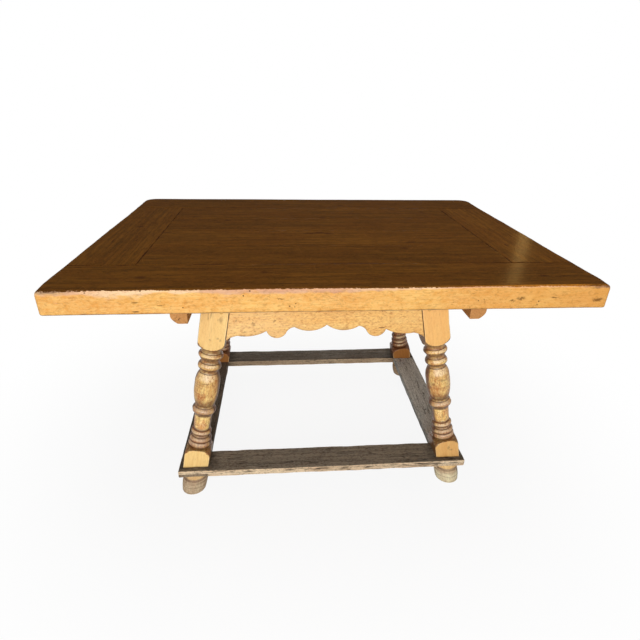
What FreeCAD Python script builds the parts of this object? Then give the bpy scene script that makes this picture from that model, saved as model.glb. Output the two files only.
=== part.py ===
import FreeCAD, Part
import math
import os

Vector = FreeCAD.Vector

# All lengths are in millimetres. X runs along the table, Y to its back and Z up.
# The origin is on the floor, under the middle of the top.

# Whole table
table_height = 765.0
cut_overrun = 40.0  # how far a cutting shape runs past what it cuts
fit_clearance = 0.15  # play of a tenon, tongue or peg on each side

# Top: two long rails, two end boards between them, and planks in the middle
top_length = 1340.0
top_depth = 980.0
top_thickness = 60.0
top_front_corner_radius = 12.0
top_back_corner_radius = 44.0
top_edge_round = 4.0
rail_width = 168.0
end_board_width = 175.0
plank_count = 4
tongue_length = 14.0
tongue_thickness = 18.0
end_tenon_length = 90.0
end_tenon_width = 110.0
end_tenon_thickness = 20.0
frame_peg_diameter = 13.0
frame_peg_length = 50.0
frame_peg_spacing = 60.0

# Battens under the top, running from front to back outside the legs
batten_from_end = 290.0  # its middle, in from the end of the top
batten_width = 42.0
batten_depth = 60.0
batten_setback = 68.0  # from the front and back edges of the top
batten_curve_width = 18.0  # the lower outer corner is rounded off
batten_curve_height = 26.0
batten_curve_bulge = 4.9  # how far the curve stands out from a straight bevel
batten_peg_diameter = 14.0
batten_peg_bite = 35.0  # how far a peg goes up into the top

# Legs: the axis of each is given at the floor and at the underside of the top,
# in from the ends of the top and in from its front and back edges
leg_foot_from_end = 246.0
leg_foot_from_edge = 167.0
leg_head_from_end = 375.0
leg_head_from_edge = 245.0
block_width = 78.0
arris_round = 1.5
head_block_length = 218.0  # from the top's underside to the neck under the square
head_shoulder = 37.0
foot_block_length = 58.0  # from the stretchers to the neck over the square
foot_shoulder = 27.0
head_pin_diameter = 28.0
head_pin_length = 30.0
foot_tenon_diameter = 30.0
foot_tenon_bite = 45.0  # how far the tenon goes down into the foot
socket_relief = 2.0  # free depth past the end of a tenon or pin
block_cover_share = 1.44  # turned radius that clears a square's corners, of half its width

# Turning of the legs from the lower neck to the upper one: shares of that length,
# and radii as shares of half the block. An arc reaches a crest or leaves it.
neck_low_share = 0.77
turning_shares = (
    ("reach", 0.034, 0.933),
    ("leave", 0.063, 0.820),
    ("reach", 0.086, 0.885),
    ("leave", 0.110, 0.730),
    ("reach", 0.124, 0.654),
    ("leave", 0.137, 0.730),
    ("reach", 0.157, 0.820),
    ("leave", 0.180, 0.656),
    ("line", 0.320, 0.692),
    ("leave", 0.359, 0.808),
    ("reach", 0.389, 0.944),
    ("leave", 0.421, 0.770),
    ("reach", 0.434, 0.733),
    ("leave", 0.447, 0.770),
    ("reach", 0.605, 0.974),
    ("line", 0.672, 0.974),
    ("leave", 0.769, 0.733),
    ("reach", 0.784, 0.700),
    ("leave", 0.801, 0.770),
    ("reach", 0.827, 0.897),
    ("leave", 0.863, 0.751),
    ("reach", 0.883, 0.700),
    ("leave", 0.900, 0.759),
    ("line", 0.902, 0.800),
    ("line", 0.912, 0.800),
    ("reach", 0.936, 0.949),
    ("leave", 0.960, 0.815),
    ("reach", 0.979, 0.764),
    ("leave", 1.000, 0.800),
)

# Feet: shares of the foot's height and of its greatest radius, from the floor up
foot_radius = 39.5
foot_sole_share = 0.900
foot_shares = (
    ("line", 0.020, 0.940),
    ("reach", 0.380, 1.000),
    ("leave", 0.620, 0.920),
    ("line", 0.645, 0.880),
    ("reach", 0.740, 0.970),
    ("leave", 1.000, 0.940),
)

# Stretchers: a frame of flat boards between the legs and the feet, halved at its corners
stretcher_bottom = 81.0
stretcher_thickness = 25.0
stretcher_width = 90.0
stretcher_overhang_x = 14.0  # past the foot of the leg's square
stretcher_overhang_y = 17.0
stretcher_round = 2.5

# Aprons between the heads of the legs
apron_thickness = 26.0
apron_depth = 196.0
apron_setback = 2.0  # behind the outer faces of the legs
apron_tenon_thickness = 10.0
apron_tenon_length = 44.0
apron_tenon_height = 90.0
apron_tenon_drop = 25.0  # from the underside of the top
apron_peg_diameter = 9.0
apron_peg_length = 46.0
apron_peg_proud = 0.5
apron_peg_shares = (0.25, 0.75)  # of the tenon's height

# Lower edge of an apron from its middle to the leg: each arc's middle and end,
# as shares of the half span between the legs and of the apron's depth
apron_start_share = 0.684
apron_edge_shares = (
    ((0.140, 0.770), (0.318, 0.710)),
    ((0.365, 0.736), (0.394, 0.780)),
    ((0.484, 0.877), (0.590, 0.766)),
    ((0.735, 0.838), (0.872, 0.832)),
    ((0.965, 0.882), (1.040, 1.000)),
)

# Worked out from the sizes above
underside = table_height - top_thickness
half_length = top_length / 2
half_depth = top_depth / 2
panel_half_length = half_length - end_board_width
panel_half_depth = half_depth - rail_width
plank_width = 2 * panel_half_depth / plank_count
tongue_low = underside + (top_thickness - tongue_thickness) / 2
tongue_high = tongue_low + tongue_thickness
half_block = block_width / 2
batten_centre = half_length - batten_from_end
leg_foot_x = half_length - leg_foot_from_end
leg_foot_y = half_depth - leg_foot_from_edge
leg_head_x = half_length - leg_head_from_end
leg_head_y = half_depth - leg_head_from_edge
lean_x = (leg_foot_x - leg_head_x) / underside
lean_y = (leg_foot_y - leg_head_y) / underside
axis_stretch = math.sqrt(1 + lean_x ** 2 + lean_y ** 2)  # length along a leg per unit of height
stretcher_top = stretcher_bottom + stretcher_thickness
stretcher_half_x = leg_foot_x - lean_x * stretcher_top + half_block + stretcher_overhang_x
stretcher_half_y = leg_foot_y - lean_y * stretcher_top + half_block + stretcher_overhang_y

sides = (("left", -1), ("right", 1))
faces = (("front", -1), ("back", 1))
corners = [(f"{face}_{side}", x, y) for face, y in faces for side, x in sides]
aprons = (("front", 0, -1), ("back", 0, 1), ("left", -1, 0), ("right", 1, 0))


# A box between two values on each axis, in either order
def span_box(x_pair, y_pair, z_pair):
    low = Vector(min(x_pair), min(y_pair), min(z_pair))
    high = Vector(max(x_pair), max(y_pair), max(z_pair))
    size = high - low
    return Part.makeBox(size.x, size.y, size.z, low)


def straight_edges(shape, direction):
    found = []
    for edge in shape.Edges:
        way = edge.Vertexes[-1].Point - edge.Vertexes[0].Point
        if way.Length > 0 and abs(way.normalize().dot(direction)) > 0.999:
            found.append(edge)
    return found


# The space from one height to another, as wide as the top and more
def layer(low, high):
    x_reach = half_length + cut_overrun
    y_reach = half_depth + cut_overrun
    return span_box((-x_reach, x_reach), (-y_reach, y_reach), (low, high))


# Arc from a crest, where it runs along the axis, to its other end
def half_arc(crest, end):
    rise = end.z - crest.z
    fall = crest.x - end.x
    radius = (rise ** 2 + fall ** 2) / (2 * fall)
    turn = math.atan2(rise / radius, (radius - fall) / radius) / 2
    middle = Vector(crest.x - radius * (1 - math.cos(turn)), 0, crest.z + radius * math.sin(turn))
    return Part.Arc(crest, middle, end).toShape()


# A solid turned about the Z axis, from its first radius and height through its steps
def turned(first_radius, first_height, steps):
    here = Vector(first_radius, 0, first_height)
    foot = Vector(0, 0, first_height)
    edges = [Part.makeLine(foot, here)]
    for kind, height, radius in steps:
        there = Vector(radius, 0, height)
        if kind == "line":
            edges.append(Part.makeLine(here, there))
        elif kind == "reach":
            edges.append(half_arc(there, here))
        else:
            edges.append(half_arc(here, there))
        here = there
    head = Vector(0, 0, here.z)
    edges.append(Part.makeLine(here, head))
    edges.append(Part.makeLine(head, foot))
    outline = Part.Face(Part.Wire(edges))
    return outline.revolve(Vector(0, 0, 0), Vector(0, 0, 1), 360)


# The top's outer form, which its boards share
def top_blank():
    blank = span_box((-half_length, half_length), (-half_depth, half_depth), (underside, table_height))
    for y_side, radius in ((-1, top_front_corner_radius), (1, top_back_corner_radius)):
        uprights = straight_edges(blank, Vector(0, 0, 1))
        uprights = [edge for edge in uprights if edge.Vertexes[0].Point.y * y_side > half_depth - fit_clearance]
        blank = blank.makeFillet(radius, uprights)
    rims = []
    for edge in blank.Edges:
        heights = [vertex.Point.z for vertex in edge.Vertexes]
        if max(heights) - min(heights) < fit_clearance:
            rims.append(edge)
    return blank.makeFillet(top_edge_round, rims)


# Tongue or groove along an edge of a board; a groove is looser and a little deeper
def edge_key(x_pair, y_pair, play):
    return span_box(x_pair, y_pair, (tongue_low - play, tongue_high + play))


def end_tenon(x_side, y_side, play):
    middle_x = x_side * (half_length - end_board_width / 2)
    reach = end_tenon_width / 2 + play
    root = panel_half_depth - cut_overrun
    tip = panel_half_depth + end_tenon_length + play
    middle_z = underside + top_thickness / 2
    rise = end_tenon_thickness / 2 + play
    return span_box(
        (middle_x - reach, middle_x + reach),
        (y_side * root, y_side * tip),
        (middle_z - rise, middle_z + rise),
    )


def frame_peg_holes(play):
    pegs = []
    for x_side in (-1, 1):
        for y_side in (-1, 1):
            for shift in (-1, 1):
                x = x_side * (half_length - end_board_width / 2) + shift * frame_peg_spacing / 2
                y = y_side * (panel_half_depth + end_tenon_length / 2)
                bottom = Vector(x, y, table_height - frame_peg_length)
                radius = frame_peg_diameter / 2 + play
                pegs.append(Part.makeCylinder(radius, frame_peg_length, bottom))
    return pegs


# Pegs that hold a batten, driven up from its lower face: one to each board of the top
def batten_peg_holes(x_side, play):
    rail_place = (panel_half_depth + half_depth - batten_setback) / 2
    places = [-rail_place, rail_place]
    for index in range(plank_count):
        places.append(-panel_half_depth + (index + 0.5) * plank_width)
    pegs = []
    for y in places:
        bottom = Vector(x_side * batten_centre, y, underside - batten_depth)
        radius = batten_peg_diameter / 2 + play
        pegs.append(Part.makeCylinder(radius, batten_depth + batten_peg_bite, bottom))
    return pegs


# Upright pins on the heads of the legs, which seat the top
def head_pin(x_side, y_side, play, relief):
    root = Vector(x_side * leg_head_x, y_side * leg_head_y, underside - head_pin_length)
    radius = head_pin_diameter / 2 + play
    return Part.makeCylinder(radius, 2 * head_pin_length + relief, root)


# What comes up into the boards of the top from below
def underside_holes():
    tools = []
    for x_side in (-1, 1):
        tools += batten_peg_holes(x_side, fit_clearance)
        for y_side in (-1, 1):
            tools.append(head_pin(x_side, y_side, fit_clearance, socket_relief))
    return tools


def cut_all(shape, tools):
    return shape.cut(tools).removeSplitter()


def build_rail(blank, y_side):
    inner = y_side * panel_half_depth
    outer = y_side * (half_depth + cut_overrun)
    reach = half_length + cut_overrun
    board = blank.common(span_box((-reach, reach), (inner, outer), (underside, table_height)))
    length_pair = (-panel_half_length, panel_half_length)
    tools = [end_tenon(x_side, y_side, fit_clearance) for x_side in (-1, 1)]
    tools += frame_peg_holes(fit_clearance) + underside_holes()
    if y_side < 0:
        groove_floor = inner - tongue_length - fit_clearance
        tools.append(edge_key(length_pair, (inner + cut_overrun, groove_floor), fit_clearance))
    else:
        tongue = edge_key(length_pair, (inner + tongue_length, inner - tongue_length), 0)
        board = board.fuse(tongue)
    return cut_all(board, tools)


def build_end_board(blank, x_side):
    inner = x_side * panel_half_length
    outer = x_side * (half_length + cut_overrun)
    depth_pair = (-panel_half_depth, panel_half_depth)
    board = blank.common(span_box((inner, outer), depth_pair, (underside, table_height)))
    board = board.fuse([end_tenon(x_side, y_side, 0) for y_side in (-1, 1)])
    groove_floor = inner + x_side * (tongue_length + fit_clearance)
    groove = edge_key((inner - x_side * cut_overrun, groove_floor), depth_pair, fit_clearance)
    return cut_all(board, [groove] + frame_peg_holes(fit_clearance) + underside_holes())


# One plank of the middle: tongues on its front edge and ends, a groove along its back edge
def build_plank(index):
    front = -panel_half_depth + index * plank_width
    back = front + plank_width
    length_pair = (-panel_half_length, panel_half_length)
    plank = span_box(length_pair, (front, back), (underside, table_height))
    end_reach = panel_half_length + tongue_length
    groove_floor = back - tongue_length - fit_clearance
    end_key = edge_key((-end_reach, end_reach), (front, groove_floor), 0)
    front_key = edge_key(length_pair, (front - tongue_length, front + tongue_length), 0)
    plank = plank.fuse([end_key, front_key])
    groove = edge_key(length_pair, (groove_floor, back + cut_overrun), fit_clearance)
    return cut_all(plank, [groove] + underside_holes())


def build_batten(x_side):
    inner = x_side * (batten_centre - batten_width / 2)
    outer = x_side * (batten_centre + batten_width / 2)
    bottom = underside - batten_depth
    y_end = half_depth - batten_setback
    start = Vector(outer, -y_end, bottom + batten_curve_height)
    end = Vector(outer - x_side * batten_curve_width, -y_end, bottom)
    outward = Vector(x_side * batten_curve_height, 0, -batten_curve_width).normalize()
    middle = (start + end) / 2 + outward * batten_curve_bulge
    curve = Part.Arc(start, middle, end).toShape()
    points = [
        end,
        Vector(inner, -y_end, bottom),
        Vector(inner, -y_end, underside),
        Vector(outer, -y_end, underside),
        start,
    ]
    section = Part.Face(Part.Wire([curve] + Part.makePolygon(points).Edges))
    batten = section.extrude(Vector(0, 2 * y_end, 0))
    return cut_all(batten, batten_peg_holes(x_side, fit_clearance))


# Place of a leg: its Z runs up the axis and its Y face leans like the aprons
def leg_place(x_side, y_side):
    axis = Vector(-x_side * lean_x, -y_side * lean_y, 1).normalize()
    back = Vector(0, axis.z, -axis.y).normalize()
    right = back.cross(axis)
    floor_point = Vector(x_side * leg_foot_x, y_side * leg_foot_y, 0)
    return FreeCAD.Placement(floor_point, FreeCAD.Rotation(right, back, axis, "ZYX"))


def placed(shape, place):
    moved = shape.copy()
    moved.Placement = place
    return moved


# The square bar that a leg is turned from
def square_bar(eased):
    top = underside * axis_stretch + cut_overrun
    bar = span_box((-half_block, half_block), (-half_block, half_block), (0, top))
    if eased:
        bar = bar.makeFillet(arris_round, straight_edges(bar, Vector(0, 0, 1)))
    return bar


def leg_turning():
    low = stretcher_top * axis_stretch + foot_block_length
    high = underside * axis_stretch - head_block_length
    cover = block_cover_share * half_block
    steps = [("line", low - foot_shoulder, cover), ("leave", low, neck_low_share * half_block)]
    for kind, along_share, radius_share in turning_shares:
        steps.append((kind, low + along_share * (high - low), radius_share * half_block))
    steps.append(("reach", high + head_shoulder, cover))
    steps.append(("line", underside * axis_stretch + cut_overrun, cover))
    return turned(cover, 0, steps)


# Round tenon under a leg, through the stretchers and into the foot
def foot_tenon(x_side, y_side, play, relief):
    tip = stretcher_bottom * axis_stretch - foot_tenon_bite - relief
    root = stretcher_top * axis_stretch + foot_block_length / 2
    rod = Part.makeCylinder(foot_tenon_diameter / 2 + play, root - tip, Vector(0, 0, tip))
    return placed(rod, leg_place(x_side, y_side))


def build_leg(x_side, y_side, tenons):
    place = leg_place(x_side, y_side)
    leg = placed(leg_turning().common(square_bar(True)), place)
    leg = leg.common(layer(stretcher_top, underside))
    leg = leg.fuse([head_pin(x_side, y_side, 0, 0), foot_tenon(x_side, y_side, 0, 0)])
    return cut_all(leg, tenons)


def build_foot(x_side, y_side):
    height = stretcher_bottom * axis_stretch
    steps = []
    for kind, along_share, radius_share in foot_shares:
        steps.append((kind, along_share * height, radius_share * foot_radius))
    steps.append(("line", height + cut_overrun, steps[-1][2]))
    foot = placed(turned(foot_sole_share * foot_radius, -cut_overrun, steps), leg_place(x_side, y_side))
    foot = foot.common(layer(0, stretcher_bottom))
    return foot.cut(foot_tenon(x_side, y_side, fit_clearance, socket_relief))


# A stretcher is laid along X or Y; the long ones keep the upper half of each corner
def build_stretcher(x_side, y_side):
    z_pair = (stretcher_bottom, stretcher_top)
    halfway = stretcher_bottom + stretcher_thickness / 2
    x_pair = (-stretcher_half_x, stretcher_half_x)
    y_pair = (-stretcher_half_y, stretcher_half_y)
    x_inner = stretcher_half_x - stretcher_width
    y_inner = stretcher_half_y - stretcher_width
    if y_side:
        board = span_box(x_pair, (y_side * y_inner, y_side * stretcher_half_y), z_pair)
        board = board.makeFillet(stretcher_round, straight_edges(board, Vector(1, 0, 0)))
    else:
        board = span_box((x_side * x_inner, x_side * stretcher_half_x), y_pair, z_pair)
        board = board.makeFillet(stretcher_round, straight_edges(board, Vector(0, 1, 0)))
    tools = [foot_tenon(x, y, fit_clearance, socket_relief) for name, x, y in corners]
    x_past = stretcher_half_x + cut_overrun
    y_past = stretcher_half_y + cut_overrun
    for end in (-1, 1):
        if y_side:
            lower = (stretcher_bottom - cut_overrun, halfway)
            tools.append(span_box((end * x_inner, end * x_past), (-y_past, y_past), lower))
        else:
            upper = (halfway, stretcher_top + cut_overrun)
            tools.append(span_box((-x_past, x_past), (end * y_inner, end * y_past), upper))
    return cut_all(board, tools)


# An apron's own plane: X along it, Y up its slope and Z outwards from its inner face
class ApronPlane:
    def __init__(self, x_side, y_side):
        out = Vector(x_side, y_side, 0)
        lean = lean_y if y_side else lean_x
        reach = leg_foot_y if y_side else leg_foot_x
        up = (Vector(0, 0, 1) - out * lean).normalize()
        normal = (out + Vector(0, 0, lean)).normalize()
        face = half_block - apron_setback
        base = out * reach + normal * (face - apron_thickness)
        self.place = FreeCAD.Placement(base, FreeCAD.Rotation(up.cross(normal), up, normal, "ZYX"))
        self.top = (underside - face * normal.z) / up.z
        self.leg_foot = leg_foot_x if y_side else leg_foot_y
        self.leg_slope = (lean_x if y_side else lean_y) * up.z
        self.to_leg_face = half_block * math.sqrt(1 + self.leg_slope ** 2)

    # How far the leg's axis is from the apron's middle at a height on its slope
    def leg_axis(self, up):
        return self.leg_foot - self.leg_slope * up

    def leg_face(self, up):
        return self.leg_axis(up) - self.to_leg_face

    def solid(self, outline_edges, low, thickness):
        face = Part.Face(Part.Wire(outline_edges))
        slab = face.extrude(Vector(0, 0, thickness))
        slab.translate(Vector(0, 0, low))
        return placed(slab, self.place.multiply(slab.Placement))


def polygon_edges(points):
    return [Part.makeLine(a, b) for a, b in zip(points, points[1:] + points[:1])]


# Tenon at one end of an apron, or with some play the mortise for it
def apron_tenon(plane, end, play):
    high = plane.top - apron_tenon_drop + play
    low = high - apron_tenon_height - 2 * play
    points = []
    for up, past in ((low, -1), (low, 1), (high, 1), (high, -1)):
        along = plane.leg_face(up) + past * (apron_tenon_length + play)
        points.append(Vector(end * along, up, 0))
    inset = (apron_thickness - apron_tenon_thickness) / 2
    return plane.solid(polygon_edges(points), inset - play, apron_tenon_thickness + 2 * play)


# Pegs through the leg and the tenon at one end of an apron
def apron_pegs(plane, end, play):
    pegs = []
    head = apron_thickness + apron_setback + apron_peg_proud
    for share in apron_peg_shares:
        up = plane.top - apron_tenon_drop - share * apron_tenon_height
        along = plane.leg_face(up) + apron_tenon_length / 2
        tip = Vector(end * along, up, head - apron_peg_length)
        peg = Part.makeCylinder(apron_peg_diameter / 2 + play, apron_peg_length, tip)
        pegs.append(placed(peg, plane.place.multiply(peg.Placement)))
    return pegs


def apron_outline(plane):
    bottom = plane.top - apron_depth
    span = plane.leg_face(bottom)

    def edge_point(side, shares):
        return Vector(side * shares[0] * span, plane.top - shares[1] * apron_depth, 0)

    edges = []
    ends = {}
    for side in (-1, 1):
        here = edge_point(side, (0, apron_start_share))
        for middle_shares, end_shares in apron_edge_shares:
            there = edge_point(side, end_shares)
            edges.append(Part.Arc(here, edge_point(side, middle_shares), there).toShape())
            here = there
        ends[side] = here
    head = plane.top + cut_overrun
    rim = [ends[1]]
    for side, up in ((1, bottom), (1, head), (-1, head), (-1, bottom)):
        rim.append(Vector(side * plane.leg_axis(up), up, 0))
    rim.append(ends[-1])
    edges += [Part.makeLine(a, b) for a, b in zip(rim, rim[1:])]
    return Part.__sortEdges__(edges)


def build_apron(plane):
    apron = plane.solid(apron_outline(plane), 0, apron_thickness)
    apron = apron.common(layer(0, underside))
    apron = apron.cut([placed(square_bar(False), leg_place(x, y)) for name, x, y in corners])
    apron = apron.fuse([apron_tenon(plane, end, 0) for end in (-1, 1)])
    tools = []
    for end in (-1, 1):
        tools += apron_pegs(plane, end, fit_clearance)
    return cut_all(apron, tools)


os.makedirs("parts", exist_ok=True)
pieces = {}

blank = top_blank()
for face, y_side in faces:
    pieces[f"top_{face}_rail"] = build_rail(blank, y_side)
for side, x_side in sides:
    pieces[f"top_{side}_end_board"] = build_end_board(blank, x_side)
for index in range(plank_count):
    pieces[f"top_plank_{index + 1}"] = build_plank(index)
pieces["top_frame_pegs"] = Part.makeCompound(frame_peg_holes(0))

batten_pegs = []
for side, x_side in sides:
    pieces[f"{side}_batten"] = build_batten(x_side)
    batten_pegs += batten_peg_holes(x_side, 0)
pieces["batten_pegs"] = Part.makeCompound(batten_pegs)

leg_tools = []
for face, x_side, y_side in aprons:
    plane = ApronPlane(x_side, y_side)
    pieces[f"{face}_apron"] = build_apron(plane)
    own_pegs = []
    for end in (-1, 1):
        own_pegs += apron_pegs(plane, end, 0)
        leg_tools.append(apron_tenon(plane, end, fit_clearance))
        leg_tools += apron_pegs(plane, end, fit_clearance)
    pieces[f"{face}_apron_pegs"] = Part.makeCompound(own_pegs)
    pieces[f"{face}_stretcher"] = build_stretcher(x_side, y_side)

for corner, x_side, y_side in corners:
    pieces[f"{corner}_leg"] = build_leg(x_side, y_side, leg_tools)
    pieces[f"{corner}_foot"] = build_foot(x_side, y_side)

for name, shape in pieces.items():
    shape.exportStep(f"parts/{name}.step")
    print(name, len(shape.Solids), "solids, valid" if shape.isValid() else "solids, not valid")
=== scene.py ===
import math
import random

import bpy
import numpy as np
from mathutils import Matrix, Vector, noise


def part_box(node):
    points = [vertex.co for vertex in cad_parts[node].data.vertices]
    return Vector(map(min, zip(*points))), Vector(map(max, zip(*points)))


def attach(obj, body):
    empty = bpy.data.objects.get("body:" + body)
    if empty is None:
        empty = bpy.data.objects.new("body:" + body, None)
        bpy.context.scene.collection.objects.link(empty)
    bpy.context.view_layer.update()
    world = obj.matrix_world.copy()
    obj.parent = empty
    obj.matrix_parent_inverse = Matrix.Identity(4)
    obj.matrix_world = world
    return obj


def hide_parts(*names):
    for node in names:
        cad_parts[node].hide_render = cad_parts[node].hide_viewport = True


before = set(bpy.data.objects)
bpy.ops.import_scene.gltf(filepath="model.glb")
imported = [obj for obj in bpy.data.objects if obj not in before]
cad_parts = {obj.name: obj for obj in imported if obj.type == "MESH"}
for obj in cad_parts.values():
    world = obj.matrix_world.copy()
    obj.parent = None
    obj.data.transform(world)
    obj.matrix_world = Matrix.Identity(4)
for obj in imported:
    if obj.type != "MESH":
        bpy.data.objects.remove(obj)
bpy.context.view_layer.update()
print("frame loaded with", len(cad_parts), "nodes")

# main sizes, read from the frame
railLow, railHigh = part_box("top_front_rail")
topHalfX = railHigh.x
topHalfY = -railLow.y
topZ = railHigh.z
underZ = railLow.z
panelHalfX = -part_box("top_left_end_board")[1].x
panelHalfY = -railHigh.y
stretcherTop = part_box("front_stretcher")[1].z
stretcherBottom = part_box("left_stretcher")[0].z
millimetre = 0.001

sides = (("left", -1), ("right", 1))
faces = (("front", -1), ("back", 1))
corners = [(f"{face}_{side}", x, y) for face, y in faces for side, x in sides]
fourSides = [(face, 0, y) for face, y in faces] + [(side, x, 0) for side, x in sides]


# colours are written as they look on screen, 0 to 255
def tint(red, green, blue):
    def linear(value):
        share = value / 255
        return share / 12.92 if share <= 0.04045 else ((share + 0.055) / 1.055) ** 2.4
    return (linear(red), linear(green), linear(blue), 1.0)


# fractal noise of about -1 to 1, whose lumps are the given size
def ripple(point, size, octaves=2):
    return noise.fractal(Vector(point) / size, 1.0, 2.0, octaves)


def ripples(points, size, octaves=2):
    return np.array([ripple(point, size, octaves) for point in points])


# the same noise as about 0 to 1
def swell(point, size, octaves=2):
    return 0.5 + 0.5 * ripple(point, size, octaves)


def smooth(value):
    share = np.clip(value, 0, 1)
    return share * share * (3 - 2 * share)


# 1 at no distance, 0 from the given reach on
def nearness(distance, reach):
    return np.clip(1 - distance / reach, 0, 1)


# 1 between low and high, each with its own soft end
def between(value, low, lowSoft, high, highSoft):
    return smooth((value - low) / lowSoft) * smooth((high - value) / highSoft)


# lattice lines from low to high: close together by the ends, then even steps
def latticeLine(low, high, lowLines, highLines, step):
    near = [low + d for d in lowLines]
    far = [high - d for d in reversed(highLines)]
    count = max(1, round((far[0] - near[-1]) / step))
    middle = [near[-1] + (far[0] - near[-1]) * n / count for n in range(1, count)]
    return np.array(near + middle + far)


def wholeCells(xs, ys, zs):
    return np.ones((len(xs) - 1, len(ys) - 1, len(zs) - 1), bool)


# outer skin of the filled cells of a lattice, as points and quads
def latticeSkin(xs, ys, zs, filled=None):
    grid = np.pad(wholeCells(xs, ys, zs) if filled is None else filled, 1)
    quads = []
    for axis in range(3):
        second, third = (axis + 1) % 3, (axis + 2) % 3
        for step in (1, -1):
            cells = np.argwhere(grid & ~np.roll(grid, -step, axis)) - 1
            quad = np.zeros((len(cells), 4, 3), int)
            for corner, (b, c) in enumerate(((0, 0), (1, 0), (1, 1), (0, 1))[::step]):
                quad[:, corner] = cells
                quad[:, corner, axis] += 1 if step > 0 else 0
                quad[:, corner, second] += b
                quad[:, corner, third] += c
            quads.append(quad)
    quads = np.concatenate(quads)
    keys = (quads[..., 0] * (len(ys) + 1) + quads[..., 1]) * (len(zs) + 1) + quads[..., 2]
    used, inverse = np.unique(keys, return_inverse=True)
    k = used % (len(zs) + 1)
    j = used // (len(zs) + 1) % (len(ys) + 1)
    i = used // (len(zs) + 1) // (len(ys) + 1)
    points = np.stack([xs[i], ys[j], zs[k]], 1).astype(float)
    return points, inverse.reshape(-1, 4)


# makes the mesh of a piece, with what its material reads from it, and stands it for a CAD node
def addPiece(node, material, points, quads, grain, wearAndHighlight, dirt,
             tone=0.0, sharpAngle=40, cover=-1.0, tinge=0.0):
    mesh = bpy.data.meshes.new(node + "_worn")
    mesh.from_pydata([tuple(p) for p in points], [], [tuple(int(v) for v in q) for q in quads])
    mesh.update()
    count = len(points)
    shift = random.Random(node)
    offset = np.array([shift.uniform(-5, 5), shift.uniform(0.03, 0.09), shift.uniform(-0.09, -0.03)])
    layer = mesh.attributes.new("grain", "FLOAT_VECTOR", "POINT")
    layer.data.foreach_set("vector", (np.asarray(grain) + offset).astype(np.float32).ravel())
    normals = np.zeros(count * 3, np.float32)
    mesh.vertices.foreach_get("normal", normals)
    # the finish of the upper faces lies on what looks up and where cover is 1; at 2 and -2 it alone says where
    covered = np.where(np.abs(cover) > 1.5, cover, np.maximum(normals.reshape(-1, 3)[:, 2], cover))
    # the dirt layer carries real dirt and painted shade, the wear layer real wear and painted highlights
    for name, values in (("wearAndHighlight", wearAndHighlight), ("dirt", dirt), ("tone", tone), ("tinge", tinge), ("cover", covered)):
        layer = mesh.attributes.new(name, "FLOAT", "POINT")
        layer.data.foreach_set("value", np.ascontiguousarray(np.zeros(count) + values, np.float32))
    mesh.shade_smooth()
    mesh.set_sharp_from_angle(angle=math.radians(sharpAngle))
    mesh.materials.append(material)
    piece = bpy.data.objects.new(node + "_worn", mesh)
    bpy.context.scene.collection.objects.link(piece)
    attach(piece, "root")
    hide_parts(node)


# shader helpers

def newNode(tree, kind, **settings):
    made = tree.nodes.new("ShaderNode" + kind)
    for name, value in settings.items():
        setattr(made, name, value)
    return made


# plugs a node's socket, a number or a colour into an input
def plug(tree, target, value):
    if isinstance(value, bpy.types.NodeSocket):
        tree.links.new(value, target)
    else:
        target.default_value = value


def plugAll(tree, node, values):
    for name, value in values.items():
        plug(tree, node.inputs[name], value)


def math2(tree, operation, first, second=0.0):
    made = newNode(tree, "Math", operation=operation)
    plug(tree, made.inputs[0], first)
    plug(tree, made.inputs[1], second)
    return made.outputs[0]


def plus(tree, first, second):
    return math2(tree, "ADD", first, second)


def minus(tree, first, second):
    return math2(tree, "SUBTRACT", first, second)


def times(tree, first, second):
    return math2(tree, "MULTIPLY", first, second)


def largest(tree, masks):
    found = masks[0]
    for mask in masks[1:]:
        found = math2(tree, "MAXIMUM", found, mask)
    return found


# sum of masks, each times its weight
def weighted(tree, rows):
    total = times(tree, *rows[0])
    for mask, weight in rows[1:]:
        total = plus(tree, total, times(tree, mask, weight))
    return total


# a value's stretch from low to high as 0 to 1, with soft ends
def ramp(tree, value, low, high):
    made = newNode(tree, "MapRange", interpolation_type="SMOOTHSTEP")
    plugAll(tree, made, {"Value": value, "From Min": low, "From Max": high})
    return made.outputs["Result"]


def mixColour(tree, share, first, second):
    made = newNode(tree, "Mix", data_type="RGBA", blend_type="MIX")
    for socket, value in ((0, share), (6, first), (7, second)):  # its colour sockets are the seventh and eighth
        plug(tree, made.inputs[socket], value)
    return made.outputs[2]


# lays a tint over a colour by a share of a mask
def layTint(tree, mask, share, colour, over):
    return mixColour(tree, times(tree, mask, share), colour, over)


def vectorMath(tree, operation, *values):
    made = newNode(tree, "VectorMath", operation=operation)
    for socket, value in zip(made.inputs, values):
        plug(tree, socket, value)
    return made.outputs["Value" if operation == "LENGTH" else "Vector"]


def noiseValue(tree, vector, detail=3.0, roughness=0.55, distortion=0.0, scale=1.0, socket="Fac"):
    made = newNode(tree, "TexNoise")
    plugAll(tree, made, {"Vector": vector, "Scale": scale, "Detail": detail, "Roughness": roughness,
                         "Distortion": distortion})
    return made.outputs[socket]


# noise in the grain's own directions, with its own scale along and across it
def grainNoise(tree, grain, along, across, *settings):
    return noiseValue(tree, vectorMath(tree, "MULTIPLY", grain, (along, across, across)), *settings)


def attributeOf(tree, name, socket="Fac"):
    return newNode(tree, "Attribute", attribute_name=name).outputs[socket]


def objectPlace(tree):
    return newNode(tree, "TexCoord").outputs["Object"]


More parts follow.
